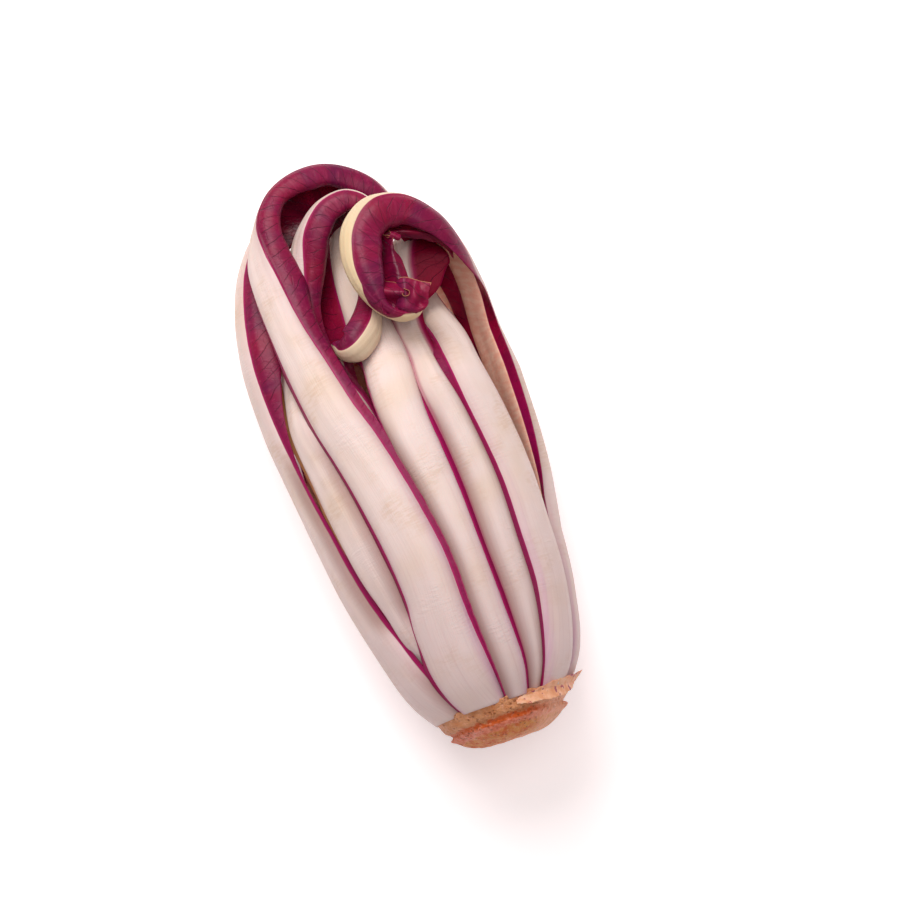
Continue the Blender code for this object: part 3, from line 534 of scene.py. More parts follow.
def lay_over(leaf, side, at, reach, lean, fade):
    """Lengthens one margin so that it lies over the edge of the neighbouring rib."""
    low = leaf.samples[:leaf.rise]
    lean = np.clip(lean, -10, 45)
    reach, lean, share = (np.interp(low[:, 1], at, value) for value in (reach, lean, fade))
    length, turn = (RIGHT_BLADE, RIGHT_TURN) if side > 0 else (LEFT_BLADE, LEFT_TURN)
    low[:, length] += (np.maximum(reach, low[:, length]) - low[:, length]) * share
    low[:, turn] += (lean - low[:, turn]) * share
    shade_edge(leaf, side, at, fade)


def shade_edge(leaf, side, at, amount):
    """Marks an edge as lying on top (positive: pink tint) or tucked under (negative: shaded)."""
    leaf.tint[side][:leaf.rise] += np.interp(leaf.points[:leaf.rise, 1], at, amount)


def press_together(leaves):
    """Closes the gaps all round the head."""
    for first, second, *limits in NEIGHBOURS:
        close_gap(leaves[first], leaves[second], *limits)
    for leaf in leaves.values():
        shift = (leaf.wide_right - leaf.wide_left) / 2
        leaf.points = leaf.points + leaf.sideways * shift[:, None]
        leaf.samples[:, WIDTH] += leaf.wide_left + leaf.wide_right


def leaf_surface(leaf, seed):
    """Vertices, faces and shader values of one leaf, as arrays."""
    grids = section_grid(leaf, seed)
    q, h = (np.concatenate([grids[axis + "_out"], grids[axis + "_in"][:, ::-1]], axis=1) for axis in "qh")
    spots = leaf.points[:, None, :] + leaf.sideways[:, None, :] * q[..., None]
    spots = spots + leaf.outward[:, None, :] * h[..., None]
    spots[..., 1] = np.maximum(spots[..., 1], LEAF_FOOT)
    spots[..., 2] = np.maximum(spots[..., 2], TABLE_LEVEL)
    stations, half_ring = grids["q_out"].shape
    run = np.repeat(leaf.along[:, None], 2 * half_ring, axis=1)
    inner = np.repeat([[0.0, 1.0]], half_ring, axis=1).repeat(stations, axis=0)
    values = {key: doubled(grids[key]) for key in ("edge", "margin", "tint")}
    values.update({"lateral": q, "run": run, "share": run / leaf.along[-1], "inner": inner})
    return spots.reshape(-1, 3), tube_faces(stations, half_ring), values


def ring_quads(stations, ring):
    """Quads between neighbouring rings of points."""
    k, j = np.meshgrid(np.arange(stations - 1), np.arange(ring), indexing="ij")
    a = k * ring + j
    b = k * ring + (j + 1) % ring
    return np.stack([a, b, b + ring, a + ring], axis=-1).reshape(-1, 4)


def tube_faces(stations, half_ring):
    """Quads of a closed tube, with its two ends closed by strips across the thickness."""
    ring = 2 * half_ring
    j = np.arange(half_ring - 1)
    low = np.stack([j, ring - 1 - j, ring - 2 - j, j + 1], axis=-1)
    high = np.stack([j, j + 1, ring - 2 - j, ring - 1 - j], axis=-1) + (stations - 1) * ring
    return np.concatenate([ring_quads(stations, ring), low, high])


def add_piece(name, node, slot, surface, made):
    """A smooth-shaded object from a surface's vertices, faces and measures, in the tables'
    millimetres.  It rides on the head, stands for its CAD node and takes its finish."""
    spots, faces, values = surface
    mesh = bpy.data.meshes.new(name)
    mesh.vertices.add(len(spots))
    placed = (spots + np.array(SHIFT)) * MM
    mesh.vertices.foreach_set("co", placed.astype(np.float32).ravel())
    mesh.loops.add(faces.size)
    mesh.loops.foreach_set("vertex_index", faces.astype(np.int32).ravel())
    mesh.polygons.add(len(faces))
    mesh.polygons.foreach_set("loop_start", (np.arange(len(faces)) * faces.shape[1]).astype(np.int32))
    mesh.update(calc_edges=True)
    mesh.polygons.foreach_set("use_smooth", np.ones(len(faces), dtype=bool))
    for key, grid in values.items():
        layer = mesh.attributes.new(key, "FLOAT", "POINT")
        layer.data.foreach_set("value", grid.astype(np.float32).ravel())
    mesh.validate()
    mesh.materials.append(made)
    piece = bpy.data.objects.new(name, mesh)
    bpy.context.scene.collection.objects.link(piece)
    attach(piece, "root")
    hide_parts(node)


# ---- frilled tip of the hook

# Control points of the thin frills at the end of the hooked leaf, row by row along each frill.
TIP_SHEET = (
    ((13.2, 165, 66), (16.4, 163.2, 69), (18.6, 161.5, 71.5), (19.2, 160.5, 72.5)),
    ((12.8, 159, 65), (15.5, 158, 69), (17.3, 156.5, 72), (18.2, 157, 71.5)),
    ((11, 155, 66), (13.8, 154, 69.5), (16.8, 153.5, 72.5), (19.5, 153.5, 71.5)),
    ((9.6, 151, 67), (13, 150, 70), (16.8, 149.5, 73), (19.7, 149, 72)),
    ((8.6, 147, 68), (12.5, 146, 71), (16, 145, 73.5), (19.8, 145.5, 73.5)),
)
TIP_FLAP = (
    ((16, 147, 73), (18.5, 146.4, 74.5), (21.5, 144.7, 74), (23.2, 143.2, 75), (26, 141.6, 75.5)),
    ((15, 143.5, 73.5), (17.5, 142.3, 75.5), (20, 141.4, 74), (22, 140, 75.5), (24.2, 138.8, 75.5)),
    ((14, 140.5, 73), (16, 139, 75), (18.3, 138, 74.5), (20.6, 137.4, 72.5), (23, 135.8, 74)),
    ((12.5, 138.4, 71), (14.7, 137, 74), (17, 136, 74), (19.2, 135.4, 73), (21.4, 135, 72.5)),
    ((11.5, 137.2, 70), (13.7, 136, 72), (16, 135, 72.5), (18, 134.6, 72), (19.6, 134.8, 71.5)),
)
TIP_POCKET = (
    ((10.5, 149, 72.5), (13, 147.5, 72), (15.2, 146, 73), (17, 143.6, 74)),
    ((9.6, 145.5, 76), (11.8, 143.6, 76), (14.3, 142.2, 76), (17, 141.2, 76.5)),
    ((9, 142, 76.5), (11.2, 141, 73), (13.5, 140.4, 72.5), (15.8, 139.8, 74.5)),
    ((8.8, 139.4, 76), (10.4, 138.4, 73), (12.4, 138, 72), (14.2, 138, 73.2)),
    ((8.8, 137.2, 75), (10, 136.4, 74), (11.4, 136.6, 73), (12.8, 137, 72)),
)
TIP_CURL = (
    ((16.9, 162.2, 70), (17.6, 161, 71.8), (18.8, 161.8, 72.6), (18.6, 163.2, 71.4)),
    ((18.6, 161.4, 70.2), (18.9, 160.2, 71.8), (20, 160.8, 72.6), (20.2, 162, 71.6)),
    ((20.4, 160.2, 70), (20.6, 159.2, 71.2), (21.4, 159.4, 72), (21.8, 160.6, 71.2)),
)
TIP_TUBE = (
    ((16.4, 141.8, 76.4), (16.4, 140.2, 76.6), (17.8, 139.8, 76.6), (18.6, 141, 76.6), (17.2, 142.4, 76.4)),
    ((16.2, 141.8, 75), (16.2, 140.4, 75), (17.4, 140.2, 75), (18.2, 141, 75), (17, 142.2, 75)),
    ((15.6, 141.8, 73), (15.8, 140.6, 73), (17, 140.6, 73), (17.6, 141.2, 73), (16.6, 142, 73)),
)
TOP_FOLD = (
    ((14.5, 165.5, 66), (16.4, 163.5, 68.5), (17.6, 161.8, 67)),
    ((19.6, 165, 65.5), (20.8, 163.2, 68), (21.6, 161.2, 66.5)),
    ((24.6, 163.6, 65), (25.6, 161.6, 67.5), (26.2, 159.6, 65.5)),
    ((29, 161.8, 63.5), (29.8, 160, 66), (30.4, 157.6, 63.5)),
    ((33, 159, 61), (33.6, 157.4, 63.5), (33.8, 155.2, 61)),
    ((36.6, 154.5, 57), (36.2, 153.6, 60), (35.6, 151.5, 57)),
)
FRILL_STATIONS = 44
FRILL_THICKNESS = 0.3
FRILL_SEED = 39             # the frills' materials are numbered after the leaves'


def frill_grid(rows):
    """A smooth sheet through a frill's control points."""
    points = np.array(rows, dtype=float)
    for _ in range(2):
        count = len(points)
        at = np.arange(count, dtype=float)
        flat = points.reshape(count, -1)
        wanted = np.linspace(0, count - 1, FRILL_STATIONS)
        smooth = hermite(at, flat, np.gradient(flat, axis=0), wanted)
        points = smooth.reshape(FRILL_STATIONS, -1, 3).transpose(1, 0, 2)
    return points


def frill_surface(rows, inner_red_and_shade, crumple, seed):
    """A thin crumpled sheet with an uneven edge, closed all round."""
    grid = frill_grid(rows)
    steps = np.linspace(0, 1, FRILL_STATIONS)
    u, v = np.meshgrid(steps, steps, indexing="ij")
    normal = unit(np.cross(np.gradient(grid, axis=0), np.gradient(grid, axis=1)))
    folds = np.sin(9 * u + 5 * v + seed) * np.sin(7 * v - 4 * u + 2 * seed)
    near_edge = np.minimum(np.minimum(u, 1 - u), np.minimum(v, 1 - v))
    ragged = np.sin(31 * u + 3 * seed) * np.sin(27 * v + seed) * smoothstep(0.12, 0.0, near_edge)
    grid = grid + normal * (crumple * (folds + 1.2 * ragged))[..., None]
    half = normal * (FRILL_THICKNESS / 2 * (0.45 + 0.55 * smoothstep(0.0, 0.08, near_edge)))[..., None]
    spots = np.concatenate([grid + half, (grid - half)[:, ::-1]], axis=1)
    values = {
        "edge": doubled(2.5 + 6 * v), "margin": doubled(near_edge * 22), "tint": doubled(np.zeros_like(u)),
        "lateral": doubled(12 * v + 5 * seed), "run": doubled(200 + 14 * u),
        "share": doubled(1 - 0.2 * smoothstep(0.04, 0.15, u)),
        # the front face takes the deep red inner share, which on the sheet and the pocket is partly painted
        # shade
        "inner": np.concatenate([np.full_like(u, inner_red_and_shade), np.full_like(u, 0.9)], axis=1),
    }
    return spots.reshape(-1, 3), tube_faces(FRILL_STATIONS, FRILL_STATIONS), values


# Each frill's name, control points, how much of the deep red inner colour it shows (on the sheet and the
# pocket this also paints shade into the recesses under the hook's tip), and the height of its crumples in
# mm.
FRILLS = (
    ("tip_sheet", TIP_SHEET, 0.7, 0.14), ("tip_flap", TIP_FLAP, 0.0, 0.08),
    ("tip_pocket", TIP_POCKET, 0.4, 0.1), ("tip_curl", TIP_CURL, 0.3, 0.03),
    ("tip_tube", TIP_TUBE, 0.3, 0.04), ("top_fold", TOP_FOLD, 0.3, 0.2),
)


def add_frills():
    """The torn and folded frills at the end of the hooked leaf."""
    hook = "outer_leaf_right_hook"
    for seed, (name, *shape) in enumerate(FRILLS, start=1):
        made = leaf_material(name + "_look", FRILL_SEED + seed, 0.0)
        add_piece(name, hook, hook + "_skin", frill_surface(*shape, seed), made)


# ---- shader helpers

class Signal:
    """A value in a material that can be added, scaled and mapped like a number."""

    def __init__(self, graph, socket):
        self.graph = graph
        self.socket = socket

    def __add__(self, other):
        """This value plus another."""
        return self.graph.math("ADD", self, other)

    def __sub__(self, other):
        """This value minus another."""
        return self.graph.math("SUBTRACT", self, other)

    def __rsub__(self, other):
        """A number minus this value."""
        return self.graph.math("SUBTRACT", other, self)

    def __mul__(self, other):
        """This value times another."""
        return self.graph.math("MULTIPLY", self, other)

    def spread(self, low, high, to_low=0.0, to_high=1.0):
        """Maps low..high smoothly to to_low..to_high."""
        return self.graph.add("ShaderNodeMapRange", {
            "Value": self, "From Min": low, "From Max": high, "To Min": to_low, "To Max": to_high,
        }, interpolation_type="SMOOTHSTEP")


class Graph:
    """Short calls that add and link shader nodes."""

    def __init__(self, name):
        self.material = bpy.data.materials.new(name)
        self.material.use_nodes = True
        self.tree = self.material.node_tree
        self.shader = self.tree.nodes["Principled BSDF"]

    def feed(self, socket, value):
        """Links a signal to a socket, or sets a number or colour on it."""
        if isinstance(value, Signal):
            self.tree.links.new(value.socket, socket)
        elif isinstance(value, tuple) and len(value) == 3 and socket.type == "RGBA":
            socket.default_value = (*value, 1.0)
        else:
            socket.default_value = value

    def finish(self, **values):
        """Feeds the shader's inputs, named with _ for a space, and returns the material."""
        for name, value in values.items():
            self.feed(self.shader.inputs[name.replace("_", " ")], value)
        return self.material

    def add(self, kind, inputs, output=0, **settings):
        """Adds a node with its settings and inputs, and gives one of its outputs."""
        node = self.tree.nodes.new(kind)
        for name, value in settings.items():
            setattr(node, name, value)
        for key, value in inputs.items():
            self.feed(node.inputs[key], value)
        return Signal(self, node.outputs[output])

    def value(self, name):
        """A float attribute of the mesh."""
        return self.add("ShaderNodeAttribute", {}, "Fac", attribute_name=name)

    def math(self, operation, a, b=0.0):
        """One arithmetic step."""
        return self.add("ShaderNodeMath", {0: a, 1: b}, operation=operation)

    def mix(self, share, a, b):
        """Goes from colour a to colour b as share goes from 0 to 1."""
        return self.add("ShaderNodeMix", {"Factor": share, 6: a, 7: b}, 2, data_type="RGBA")

    def vector(self, x, y, z=0.0):
        """Three values as one place."""
        return self.add("ShaderNodeCombineXYZ", {0: x, 1: y, 2: z})

    def noise(self, vector, scale, detail=3.0, rough=0.5):
        """Smooth clouds, about 0 to 1."""
        return self.add("ShaderNodeTexNoise", {
            "Vector": vector, "Scale": scale, "Detail": detail, "Roughness": rough})

    def cells(self, vector, scale, feature="DISTANCE_TO_EDGE"):
        """Distance to the borders (or, with "F1", to the middles) of random cells."""
        inputs = {"Vector": vector, "Scale": scale}
        return self.add("ShaderNodeTexVoronoi", inputs, "Distance", feature=feature)

    def bump(self, height, strength, distance):
        """A surface normal that follows a height."""
        return self.add("ShaderNodeBump", {"Height": height, "Strength": strength, "Distance": distance})


def srgb(red, green, blue):
    """A colour given as 0-255 display values, in the shader's linear units."""
    def linear(c):
        c = c / 255
        return c / 12.92 if c <= 0.04045 else ((c + 0.055) / 1.055) ** 2.4
    return linear(red), linear(green), linear(blue)


# ---- leaf material

CREAM = srgb(231, 209, 202)
WARM_CREAM = srgb(225, 200, 182)
FOOT_CREAM_AND_SHADE = srgb(208, 182, 182)
STAIN = srgb(212, 180, 154)
RIB_FLANK_SHADE = srgb(190, 158, 156)
RIB_STREAK = srgb(196, 158, 160)
STRAW = srgb(222, 197, 150)
LILAC = srgb(206, 158, 184)
TUCKED_SHADE = srgb(150, 112, 104)
PINK_EDGE = srgb(172, 26, 96)
MAGENTA = srgb(140, 14, 76)
PURPLE = srgb(132, 18, 62)
VIOLET = srgb(98, 16, 60)
CRIMSON = srgb(140, 10, 46)
VEIN = srgb(52, 8, 30)
INNER_RED = srgb(136, 6, 46)
INNER_DARK = srgb(88, 4, 32)
FLECK = srgb(176, 62, 98)
CRIMSON_AND_SHADE = srgb(118, 4, 34)
TAN_FACE = srgb(240, 166, 138)
PALE_TAN = srgb(246, 194, 168)
TAN_EDGE = srgb(206, 150, 100)
VEIN_SPACING = 4.7          # mm between the main veins of a blade
VEIN_LEAN = 0.35            # how far the main veins lean back as they leave the rib
# Measures that each leaf's mesh carries for its material: distance out from the edge of the rib,
# distance in from the free edge, place across and along the leaf, inner side, share of the
# leaf's length, and whether an edge lies on top (positive) or is tucked under (negative, where
# the rib gets painted shade).
LEAF_MEASURES = ("edge", "margin", "lateral", "run", "inner", "share", "tint")


def leaf_material(name, seed, straw, soft=0.0, crimson_and_shade=0.0, tan=0.0):
    """White rib, sharp pink border and veined dark red blade, placed by the leaf's own measures."""
    g = Graph(name)
    m = SimpleNamespace(**{key: g.value(key) for key in LEAF_MEASURES})
    m.place = g.vector(m.run + 37.0 * seed, m.lateral, m.inner * 50.0)
    m.wrinkles = g.noise(g.vector(m.run * 2.0, m.lateral * 0.4, 5.0), 0.9)
    rib = rib_colour(g, m, straw)
    blade, veins = blade_colour(g, m, straw, soft, crimson_and_shade, tan)
    wobble = g.noise(m.place, 0.2) * 0.3 - 0.15
    on_blade = (m.edge + wobble).spread(-0.12 - soft, 0.12 + soft)
    rib_rough = g.noise(m.place, 0.8).spread(0.3, 0.7, 0.4, 0.55)
    blade_rough = m.inner * -0.14 + 0.4
    return g.finish(
        Base_Color=g.mix(on_blade, rib, blade),
        Roughness=(1.0 - on_blade) * rib_rough + on_blade * blade_rough,
        Normal=leaf_bump(g, m, on_blade, veins),
        Subsurface_Weight=0.15, Subsurface_Radius=(1.0, 0.5, 0.4), Subsurface_Scale=0.0015,
        Specular_IOR_Level=0.2 - 0.15 * crimson_and_shade, Coat_Weight=0.03 * (1 - crimson_and_shade), Coat_Roughness=0.25)


def rib_colour(g, m, straw):
    """Cream white: lilac streaks by the margins near the foot, straw toward the tip; painted shade on the
    flanks, on edges tucked under a neighbour and partly toward the foot.
    """
    streaks = g.noise(g.vector(m.run * 0.03, m.lateral, 3.0), 1.3, 4.0, 0.6)
    patches = g.noise(m.place, 0.045, 2.0)
    colour = g.mix(patches.spread(0.42, 0.7, 0.0, 0.75), CREAM, WARM_CREAM)
    stained = g.noise(m.place, 0.06, 2.0).spread(0.48, 0.64, 0.0, 0.5)
    colour = g.mix(m.wrinkles.spread(0.42, 0.62, 0.25, 1.0) * stained, colour, STAIN)
    # darker and pinker toward the foot: partly the rib's own tone, partly painted shade where the lower end
    # turns away from the light
    colour = g.mix(m.run.spread(20.0, 85.0, 0.45, 0.0), colour, FOOT_CREAM_AND_SHADE)
    # painted shade: the rib turns greyer toward both of its edges, standing in for the shading of its
    # rounded profile
    colour = g.mix(m.edge.spread(-6.0, -0.4, 0.0, 0.3), colour, RIB_FLANK_SHADE)
    colour = g.mix(m.share.spread(0.6, 0.85, 0.0, straw), colour, STRAW)
    foot = m.run.spread(10.0, 90.0, 1.0, 0.25)
    on_top = m.tint.spread(-0.2, 1.0, 0.2, 1.0) * m.edge.spread(-4.5, -0.2)
    lilac = foot * on_top * streaks.spread(0.3, 0.6, 0.3, 1.0)
    colour = g.mix(lilac * 0.75, colour, LILAC)
    colour = g.mix(streaks.spread(0.52, 0.66) * (foot * 0.22), colour, RIB_STREAK)
    # painted shade: a rib's edge that lies tucked under its neighbour is darkened toward taupe, where the
    # neighbour's margin shades it
    tucked_shade = m.tint.spread(-0.9, 0.0, 1.0, 0.0) * m.edge.spread(-7.0, 0.4)
    colour = g.mix(tucked_shade * 0.8, colour, TUCKED_SHADE)
    mottle = g.noise(g.vector(m.run * 1.2, m.lateral * 0.35, 2.0), 0.5, 4.0, 0.6)
    inside = g.mix(mottle.spread(0.35, 0.65), TAN_FACE, PALE_TAN)
    return g.mix(m.inner * 0.85, colour, inside)


def blade_veins(g, m):
    """Thin main veins that lean back from the rib, and a broken net between them."""
    bent = g.noise(m.place, 0.12, 2.0) * 5.0 - 2.5
    lean = g.math("POWER", g.math("MAXIMUM", m.edge, 0.0), 1.3) * -VEIN_LEAN
    phase = g.math("FRACT", g.math("DIVIDE", m.run + lean + bent, VEIN_SPACING))
    main = g.math("ABSOLUTE", phase - 0.5).spread(0.008, 0.035, 1.0, 0.0)
    net = g.cells(g.vector(m.run + bent, m.edge * 0.8), 0.3).spread(0.0, 0.05, 0.35, 0.0)
    broken = g.noise(m.place, 0.25, 2.0).spread(0.35, 0.6)
    return g.math("MAXIMUM", main, net * broken) * m.edge.spread(0.9, 2.2)


def blade_colour(g, m, straw, soft, crimson_and_shade, tan):
    """Pink beside the rib, then purple and crimson clouds with thin dark veins; darker inside; on some
    leaves deep crimson that is partly painted shade.
    """
    veins = blade_veins(g, m)
    cloud = g.noise(m.place, 0.11)
    outer = g.mix(cloud.spread(0.3, 0.8), PURPLE, VIOLET)
    outer = g.mix(g.noise(m.place, 0.07, 2.0).spread(0.4, 0.75, 0.0, 0.6), outer, CRIMSON)
    flecks = g.noise(m.place, 0.8, 4.0, 0.65).spread(0.5, 0.75, 0.0, 0.35)
    # deep crimson that is partly the blade's own tone and partly painted shade where the hooked leaf shades
    # it
    outer = g.mix(crimson_and_shade, g.mix(flecks, outer, FLECK), CRIMSON_AND_SHADE)
    inside = g.mix(cloud.spread(0.35, 0.7), INNER_RED, INNER_DARK)
    colour = g.mix(veins * 0.8, g.mix(m.inner, outer, inside), VEIN)
    colour = g.mix(m.run.spread(85.0, 125.0, 0.75, 0.0), colour, MAGENTA)
    border = m.edge.spread(0.1, 0.9 + 1.5 * soft, 0.75, 0.0) * (m.inner * -0.6 + 1.0)
    border = border * m.share.spread(0.66, 0.8, 1.0, 1.0 - straw)
    colour = g.mix(border, colour, PINK_EDGE)
    strip = m.lateral.spread(-2.0, -1.0, tan, 0.0) * m.run.spread(62.0, 72.0)
    colour = g.mix(strip, colour, TAN_EDGE)
    rim = m.margin.spread(0.05, 0.3, 0.35, 0.0) * m.edge.spread(1.0, 3.0)
    colour = g.mix(rim, colour, PINK_EDGE)
    torn = m.margin.spread(0.12, 0.3, 1.0, 0.0) * m.share.spread(0.965, 0.99)
    return g.mix(torn * 0.8, colour, TAN_EDGE), veins


def leaf_bump(g, m, on_blade, veins):
    """Lengthwise grain and faint cross wrinkles on the rib; sunk veins and quilting on the blade."""
    grain = g.noise(g.vector(m.run * 0.05, m.lateral, 9.0), 2.2, 4.0, 0.6)
    where = g.noise(m.place, 0.05, 2.0).spread(0.45, 0.65)
    rib = grain * 0.5 + m.wrinkles * where * 0.9
    quilt = g.noise(m.place, 0.35) + veins * -0.5
    return g.bump((1.0 - on_blade) * rib + on_blade * quilt, 0.6, 0.0004)


# ---- root and flap

# Outline of the root: height above its foot (mm) and share of its full radius.
ROOT_PROFILE = (
    (0, 0.002), (0, 0.22), (0.1, 0.40), (0.6, 0.54), (1.4, 0.64), (2.6, 0.735), (3.8, 0.80),
    (4.6, 0.855), (5.2, 0.895), (5.8, 0.885), (6.4, 0.85), (7.2, 0.875), (8.2, 0.94), (9.6, 0.965),
    (10.6, 0.985), (11.6, 1), (12.3, 1.015), (12.35, 0.99), (11.2, 0.93), (11.1, 0.5), (11.1, 0.002),
)
ROOT_X = 5.0
ROOT_HALF_X = 22.0
ROOT_HALF_Z = 20.5
ROOT_SIDES = 240
ROOT_RINGS = 110
# Knife cuts round the foot: angle of the middle (radians) and depth as a share of the radius.
FACETS = ((0.3, 0.10), (1.4, 0.07), (2.35, 0.11), (3.5, 0.08), (4.4, 0.10), (5.4, 0.08))
FACET_HALF = 0.55           # half the width of a cut, in radians


def root_surface():
    """The trimmed root: knife-cut facets below, a torn collar of skin above.  Its two ends are
    closed by tiny first and last rings."""
    profile = np.array(ROOT_PROFILE)
    at = distances(profile * np.array([1, ROOT_HALF_X]))
    wanted = np.linspace(0, at[-1], ROOT_RINGS)
    y = np.interp(wanted, at, profile[:, 0])[:, None]
    share = np.interp(wanted, at, profile[:, 1])[:, None]
    angle = np.linspace(0, 2 * math.pi, ROOT_SIDES, endpoint=False)[None, :]
    below = smoothstep(7.0, 5.0, y) * smoothstep(0.15, 0.5, share)
    facets = knife_facets(angle, y) * below
    lip = smoothstep(9.5, 12.3, y) * smoothstep(0.9, 0.97, share)
    ragged = 0.7 * np.sin(5 * angle + 1) + 0.5 * np.sin(11 * angle + 2) + 0.35 * np.sin(23 * angle)
    ragged = ragged + 0.25 * np.sin(47 * angle + 1.7)
    rough = lumps(angle, y)
    on_ridge = smoothstep(3.6, 4.8, y) * smoothstep(7.0, 5.8, y)
    knobs = np.sin(17 * angle + 2.0 * np.sin(5 * angle)) * np.sin(31 * angle + 1.3 * y)
    reach = share * (1 + facets) + 0.012 * rough * smoothstep(0.2, 0.6, share) * (1 - lip)
    reach = reach + 0.02 * knobs * on_ridge
    height = y + 0.45 * ragged * lip + 0.25 * rough * below
    x = ROOT_X + ROOT_HALF_X * reach * np.cos(angle)
    z = AXIS_HEIGHT + ROOT_HALF_Z * reach * np.sin(angle)
    spots = np.stack([x, np.broadcast_to(height, x.shape), z], axis=-1)
    values = {
        "height": np.broadcast_to(y, x.shape), "side": np.broadcast_to(np.cos(angle), x.shape),
        "across": x, "rise": z,
    }
    return spots.reshape(-1, 3), ring_quads(ROOT_RINGS, ROOT_SIDES), values


def knife_facets(angle, y):
    """Flat cuts round the foot, as shares of the radius."""
    total = 0.0
    for middle, depth in FACETS:
        away = np.abs(np.angle(np.exp(1j * (angle - middle - 0.05 * y))))
        total = total - depth * np.clip(1 - (away / FACET_HALF) ** 2, 0, 1)
    return total


def lumps(angle, y):
    """Small uneven bumps round the root."""
    return (np.sin(7 * angle + 1.3 * y) + 0.7 * np.sin(13 * angle - 2.1 * y + 1)
            + 0.6 * np.sin(29 * angle + 3.7 * y + 2) + 0.5 * np.sin(41 * angle - 5.2 * y)) / 2.8


OCHRE = srgb(228, 144, 58)
ORANGE = srgb(216, 96, 34)
PINK_SKIN = srgb(250, 152, 124)
RED_SKIN = srgb(226, 112, 74)
TAN_SKIN = srgb(226, 156, 108)
BROWN_SKIN = srgb(208, 130, 80)
DARK_DOT = srgb(160, 76, 22)
PAINTED_HIGHLIGHT_SKIN = srgb(252, 184, 150)
SIDE_LIGHT_SKIN = srgb(255, 186, 150)
SKIN_STAIN = srgb(140, 52, 84)


def root_material():
    """Tan collar, orange-brown line, pink ridge and yellow-brown dotted cut facets, with painted highlights
    and painted light on the root's +x side.
    """
    g = Graph("root_skin_look")
    height = g.value("height")
    place = g.vector(g.value("across"), height, g.value("rise"))
    level = height + (g.noise(place, 0.35) * 3.0 - 1.5)
    cloud = g.noise(place, 0.5, 4.0, 0.6)
    facet = g.mix(cloud.spread(0.35, 0.65), OCHRE, ORANGE)
    ridge = g.mix(cloud.spread(0.3, 0.7), PINK_SKIN, RED_SKIN)
    collar = g.mix(g.noise(place, 0.28).spread(0.35, 0.7), TAN_SKIN, BROWN_SKIN)
    colour = g.mix(level.spread(3.2, 4.2), facet, ridge)
    colour = g.mix(level.spread(5.4, 6.0), colour, ORANGE)
    colour = g.mix(level.spread(6.9, 7.6), colour, collar)
    dots = g.cells(place, 0.75, "F1").spread(0.2, 0.36, 1.0, 0.0)
    speck = dots * g.noise(place, 0.4, 2.0).spread(0.42, 0.52)
    colour = g.mix(speck * 0.6, colour, DARK_DOT)
    # painted highlight: pale peach patches standing in for the glossy skin's reflections
    painted_highlight = g.noise(place, 0.9, 4.0, 0.65).spread(0.52, 0.7, 0.0, 0.6)
    colour = g.mix(painted_highlight, colour, PAINTED_HIGHLIGHT_SKIN)
    # painted light: the root's +x side is painted paler, standing in for light falling on that side
    painted_side_light = g.value("side").spread(0.3, 0.9) * cloud.spread(0.35, 0.6, 0.3, 0.9)
    colour = g.mix(painted_side_light, colour, SIDE_LIGHT_SKIN)
    stain = g.noise(place, 0.3, 2.0).spread(0.62, 0.7) * height.spread(8.0, 9.5)
    rough = g.noise(place, 0.9, 5.0, 0.65) + speck * -0.4
    return g.finish(
        Base_Color=g.mix(stain * 0.8, colour, SKIN_STAIN), Roughness=cloud.spread(0.3, 0.7, 0.35, 0.65),
        Normal=g.bump(rough, 1.0, 0.0013), Specular_IOR_Level=0.4,
        Subsurface_Weight=0.1, Subsurface_Radius=(1.0, 0.5, 0.3), Subsurface_Scale=0.001)


# Torn skin on the collar, from its seated end to its free one: angle round the root (degrees),
# lower and upper edge, and how far it stands off the collar (mm).
FLAP = (
    (78, 9, 10.6, 0.35), (66, 8.2, 11.4, 0.4), (52, 7.8, 12.2, 0.5), (38, 7.6, 12.8, 0.6),
    (26, 8, 13, 0.8), (15, 9, 13.2, 1.3), (7, 10.6, 13.5, 2), (1, 12.4, 13.9, 2.6),
    (-2.5, 13.7, 14.1, 3),
)
FLAP_THICKNESS = 0.3
FLAP_SEAT = 0.99             # where it lies on the collar, as a share of the root's radius
FLAP_FLARE = 0.95            # how far the strip leans out per mm above the collar
FLAP_LENGTH = 40.0
FLAP_STATIONS = 90
FLAP_COLUMNS = 24


def flap_surface():
    """A thin wavy strip of skin that lifts at one end."""
    table = np.array(FLAP)
    at = np.arange(len(table), dtype=float)
    samples = hermite(at, table, np.gradient(table, axis=0), np.linspace(0, len(table) - 1, FLAP_STATIONS))
    angle = np.radians(samples[:, 0])[:, None]
    share = np.linspace(0, 1, FLAP_COLUMNS)[None, :]
    run = np.linspace(0, FLAP_LENGTH, FLAP_STATIONS)
    torn = smoothstep(FLAP_LENGTH, 28, run)[:, None]
    low = samples[:, 1:2] + 0.3 * torn * ripple(run, 3, (7, 3.1, 1.7), (1, 0.8, 0.6))[:, None]
    high = samples[:, 2:3] + 0.3 * torn * ripple(run, 5, (9, 3.7, 1.9), (1, 0.8, 0.6))[:, None]
    y = low + (high - low) * share
    swell = 0.16 * np.sin(run[:, None] * 0.9 + 3 * share) * share + FLAP_FLARE * np.maximum(y - 11.0, 0.0)
    grids = []
    for out in (FLAP_THICKNESS, 0.0):
        reach = samples[:, 3:4] + out + swell
        x = ROOT_X + (ROOT_HALF_X * FLAP_SEAT + reach) * np.cos(angle)
        z = AXIS_HEIGHT + (ROOT_HALF_Z * FLAP_SEAT + reach) * np.sin(angle)
        grids.append(np.stack([x, y, z], axis=-1))
    spots = np.concatenate([grids[0], grids[1][:, ::-1]], axis=1)
    values = {
        "height": np.broadcast_to(doubled(share) * 4, spots.shape[:2]),
        "run": np.broadcast_to(run[:, None], spots.shape[:2]),
    }
    return spots.reshape(-1, 3), tube_faces(FLAP_STATIONS, FLAP_COLUMNS), values


